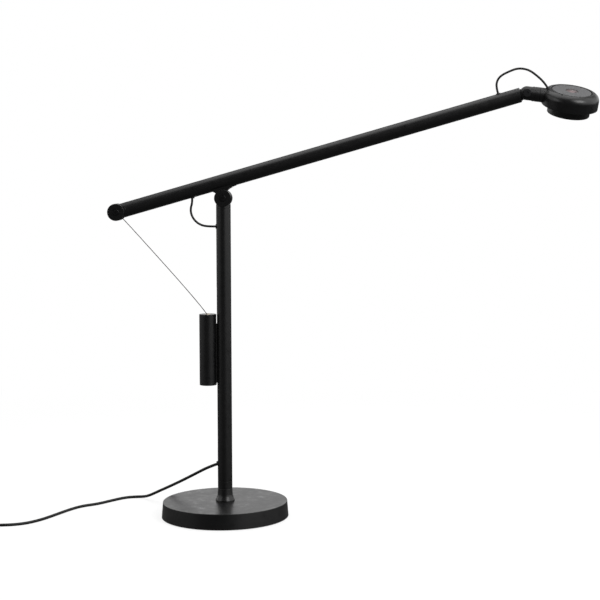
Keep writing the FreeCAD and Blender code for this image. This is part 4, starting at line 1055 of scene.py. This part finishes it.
table = Paint(bpy.data.materials.new("white table"))
plain = table.node("BsdfDiffuse", None, {"Color": grey(table_white)})
lit = table.node("AddShader", None, {0: plain, 1: glow(table_glow)})
place = table.node("TexCoord", out="Object")
reach = table.node("VectorMath", {"operation": "LENGTH"}, {0: place}, out="Value")
fade = rising(table, reach, fade_start, fade_end)
seen = table.node("MixShader", None, {0: fade, 1: lit, 2: glow(1.0)})
glossy_ray = table.node("LightPath", out="Is Glossy Ray")
unseen = table.node("MixShader", None, {0: glossy_ray, 1: plain, 2: glow(table_in_coats)})
shown = table.node("MixShader", None, {0: straight(table), 1: unseen, 2: seen})
table.node("OutputMaterial", None, {"Surface": shown})
floor_mesh = bmesh.new()
bmesh.ops.create_grid(floor_mesh, x_segments=1, y_segments=1, size=floor_reach)
floor = finished("table_top", floor_mesh)
floor.data.materials.append(table.holder)

# What the coats mirror: a bright wall behind, to the right and to the left, a softer
# ceiling, and gloom between them.  All else is lit by an even fill.
gloom, fill = 0.07, 0.45
room = Paint(bpy.data.worlds.new("white room"))
bpy.context.scene.world = room.holder
way = room.node("TexCoord", out="Generated")
rightward, backward, skyward = [
    room.node("SeparateXYZ", None, {"Vector": way}, out=axis) for axis in "XYZ"]
back = (rising(room, backward, 0.2, 0.8) * rising(room, skyward, 0.02, 0.16, 1.35)
        * rising(room, skyward, 0.65, 0.28))
right_wall = (rising(room, rightward, 0.25, 0.65, 2.0) * rising(room, skyward, -0.35, 0.1)
              * rising(room, backward, 0.7, 0.2))
left_wall = rising(room, rightward, -0.6, -0.9, 1.3) * rising(room, skyward, -0.35, 0.1)
ceiling = rising(room, skyward, 0.6, 0.95, 0.35)
mirrored = gloom + back + right_wall + left_wall + ceiling
glossy_ray = room.node("LightPath", out="Is Glossy Ray")
level = room.node("Mix", {"data_type": "FLOAT"}, {0: glossy_ray, 2: fill, 3: mirrored})
level = room.node("Mix", {"data_type": "FLOAT"}, {0: straight(room), 2: level, 3: 1.0})
shell = room.node("Background", None, {"Color": grey(1.0), "Strength": level})
room.node("OutputWorld", None, {"Surface": shell})


def softbox(name, at, aim, size, power):
    """A square area light that looks at a point."""
    light = bpy.data.lights.new(name, "AREA")
    light.shape = "SQUARE"
    light.size = size
    light.energy = power
    lamp = bpy.data.objects.new(name, light)
    lamp.location = at
    lamp.rotation_euler = (Vector(aim) - Vector(at)).to_track_quat("-Z", "Y").to_euler()
    bpy.context.scene.collection.objects.link(lamp)


softbox("right box", (1.6, -1.6, 1.8), (0.1, 0, 0.3), 1.2, 42)
softbox("left box", (-1.8, -1.2, 1.3), (0, 0, 0.3), 1.0, 7)
softbox("top box", (0.1, 0.1, 2.2), (0.1, 0, 0), 2.0, 30)

picture_width = 600
shift_across, shift_down = -40, -52.99
camera_at = Vector((0.20566, -2.05196, 0.48070))
yaw, pitch, tilt = -0.02236, math.radians(3), -0.00244
lens = bpy.data.cameras.new("camera")
lens.lens = 90
lens.sensor_width = 36
lens.shift_x = shift_across / picture_width
lens.shift_y = shift_down / picture_width
camera = bpy.data.objects.new("camera", lens)
forward = Vector((math.sin(yaw) * math.cos(pitch), math.cos(yaw) * math.cos(pitch), -math.sin(pitch)))
level_right = Vector((math.cos(yaw), -math.sin(yaw), 0))
level_up = level_right.cross(forward)
right = level_right * math.cos(tilt) + level_up * math.sin(tilt)
upward = level_up * math.cos(tilt) - level_right * math.sin(tilt)
turn = Matrix((right, upward, -forward)).transposed().to_4x4()
camera.matrix_world = Matrix.Translation(camera_at) @ turn
bpy.context.scene.collection.objects.link(camera)
bpy.context.scene.camera = camera
bpy.context.scene.view_settings.view_transform = "Standard"
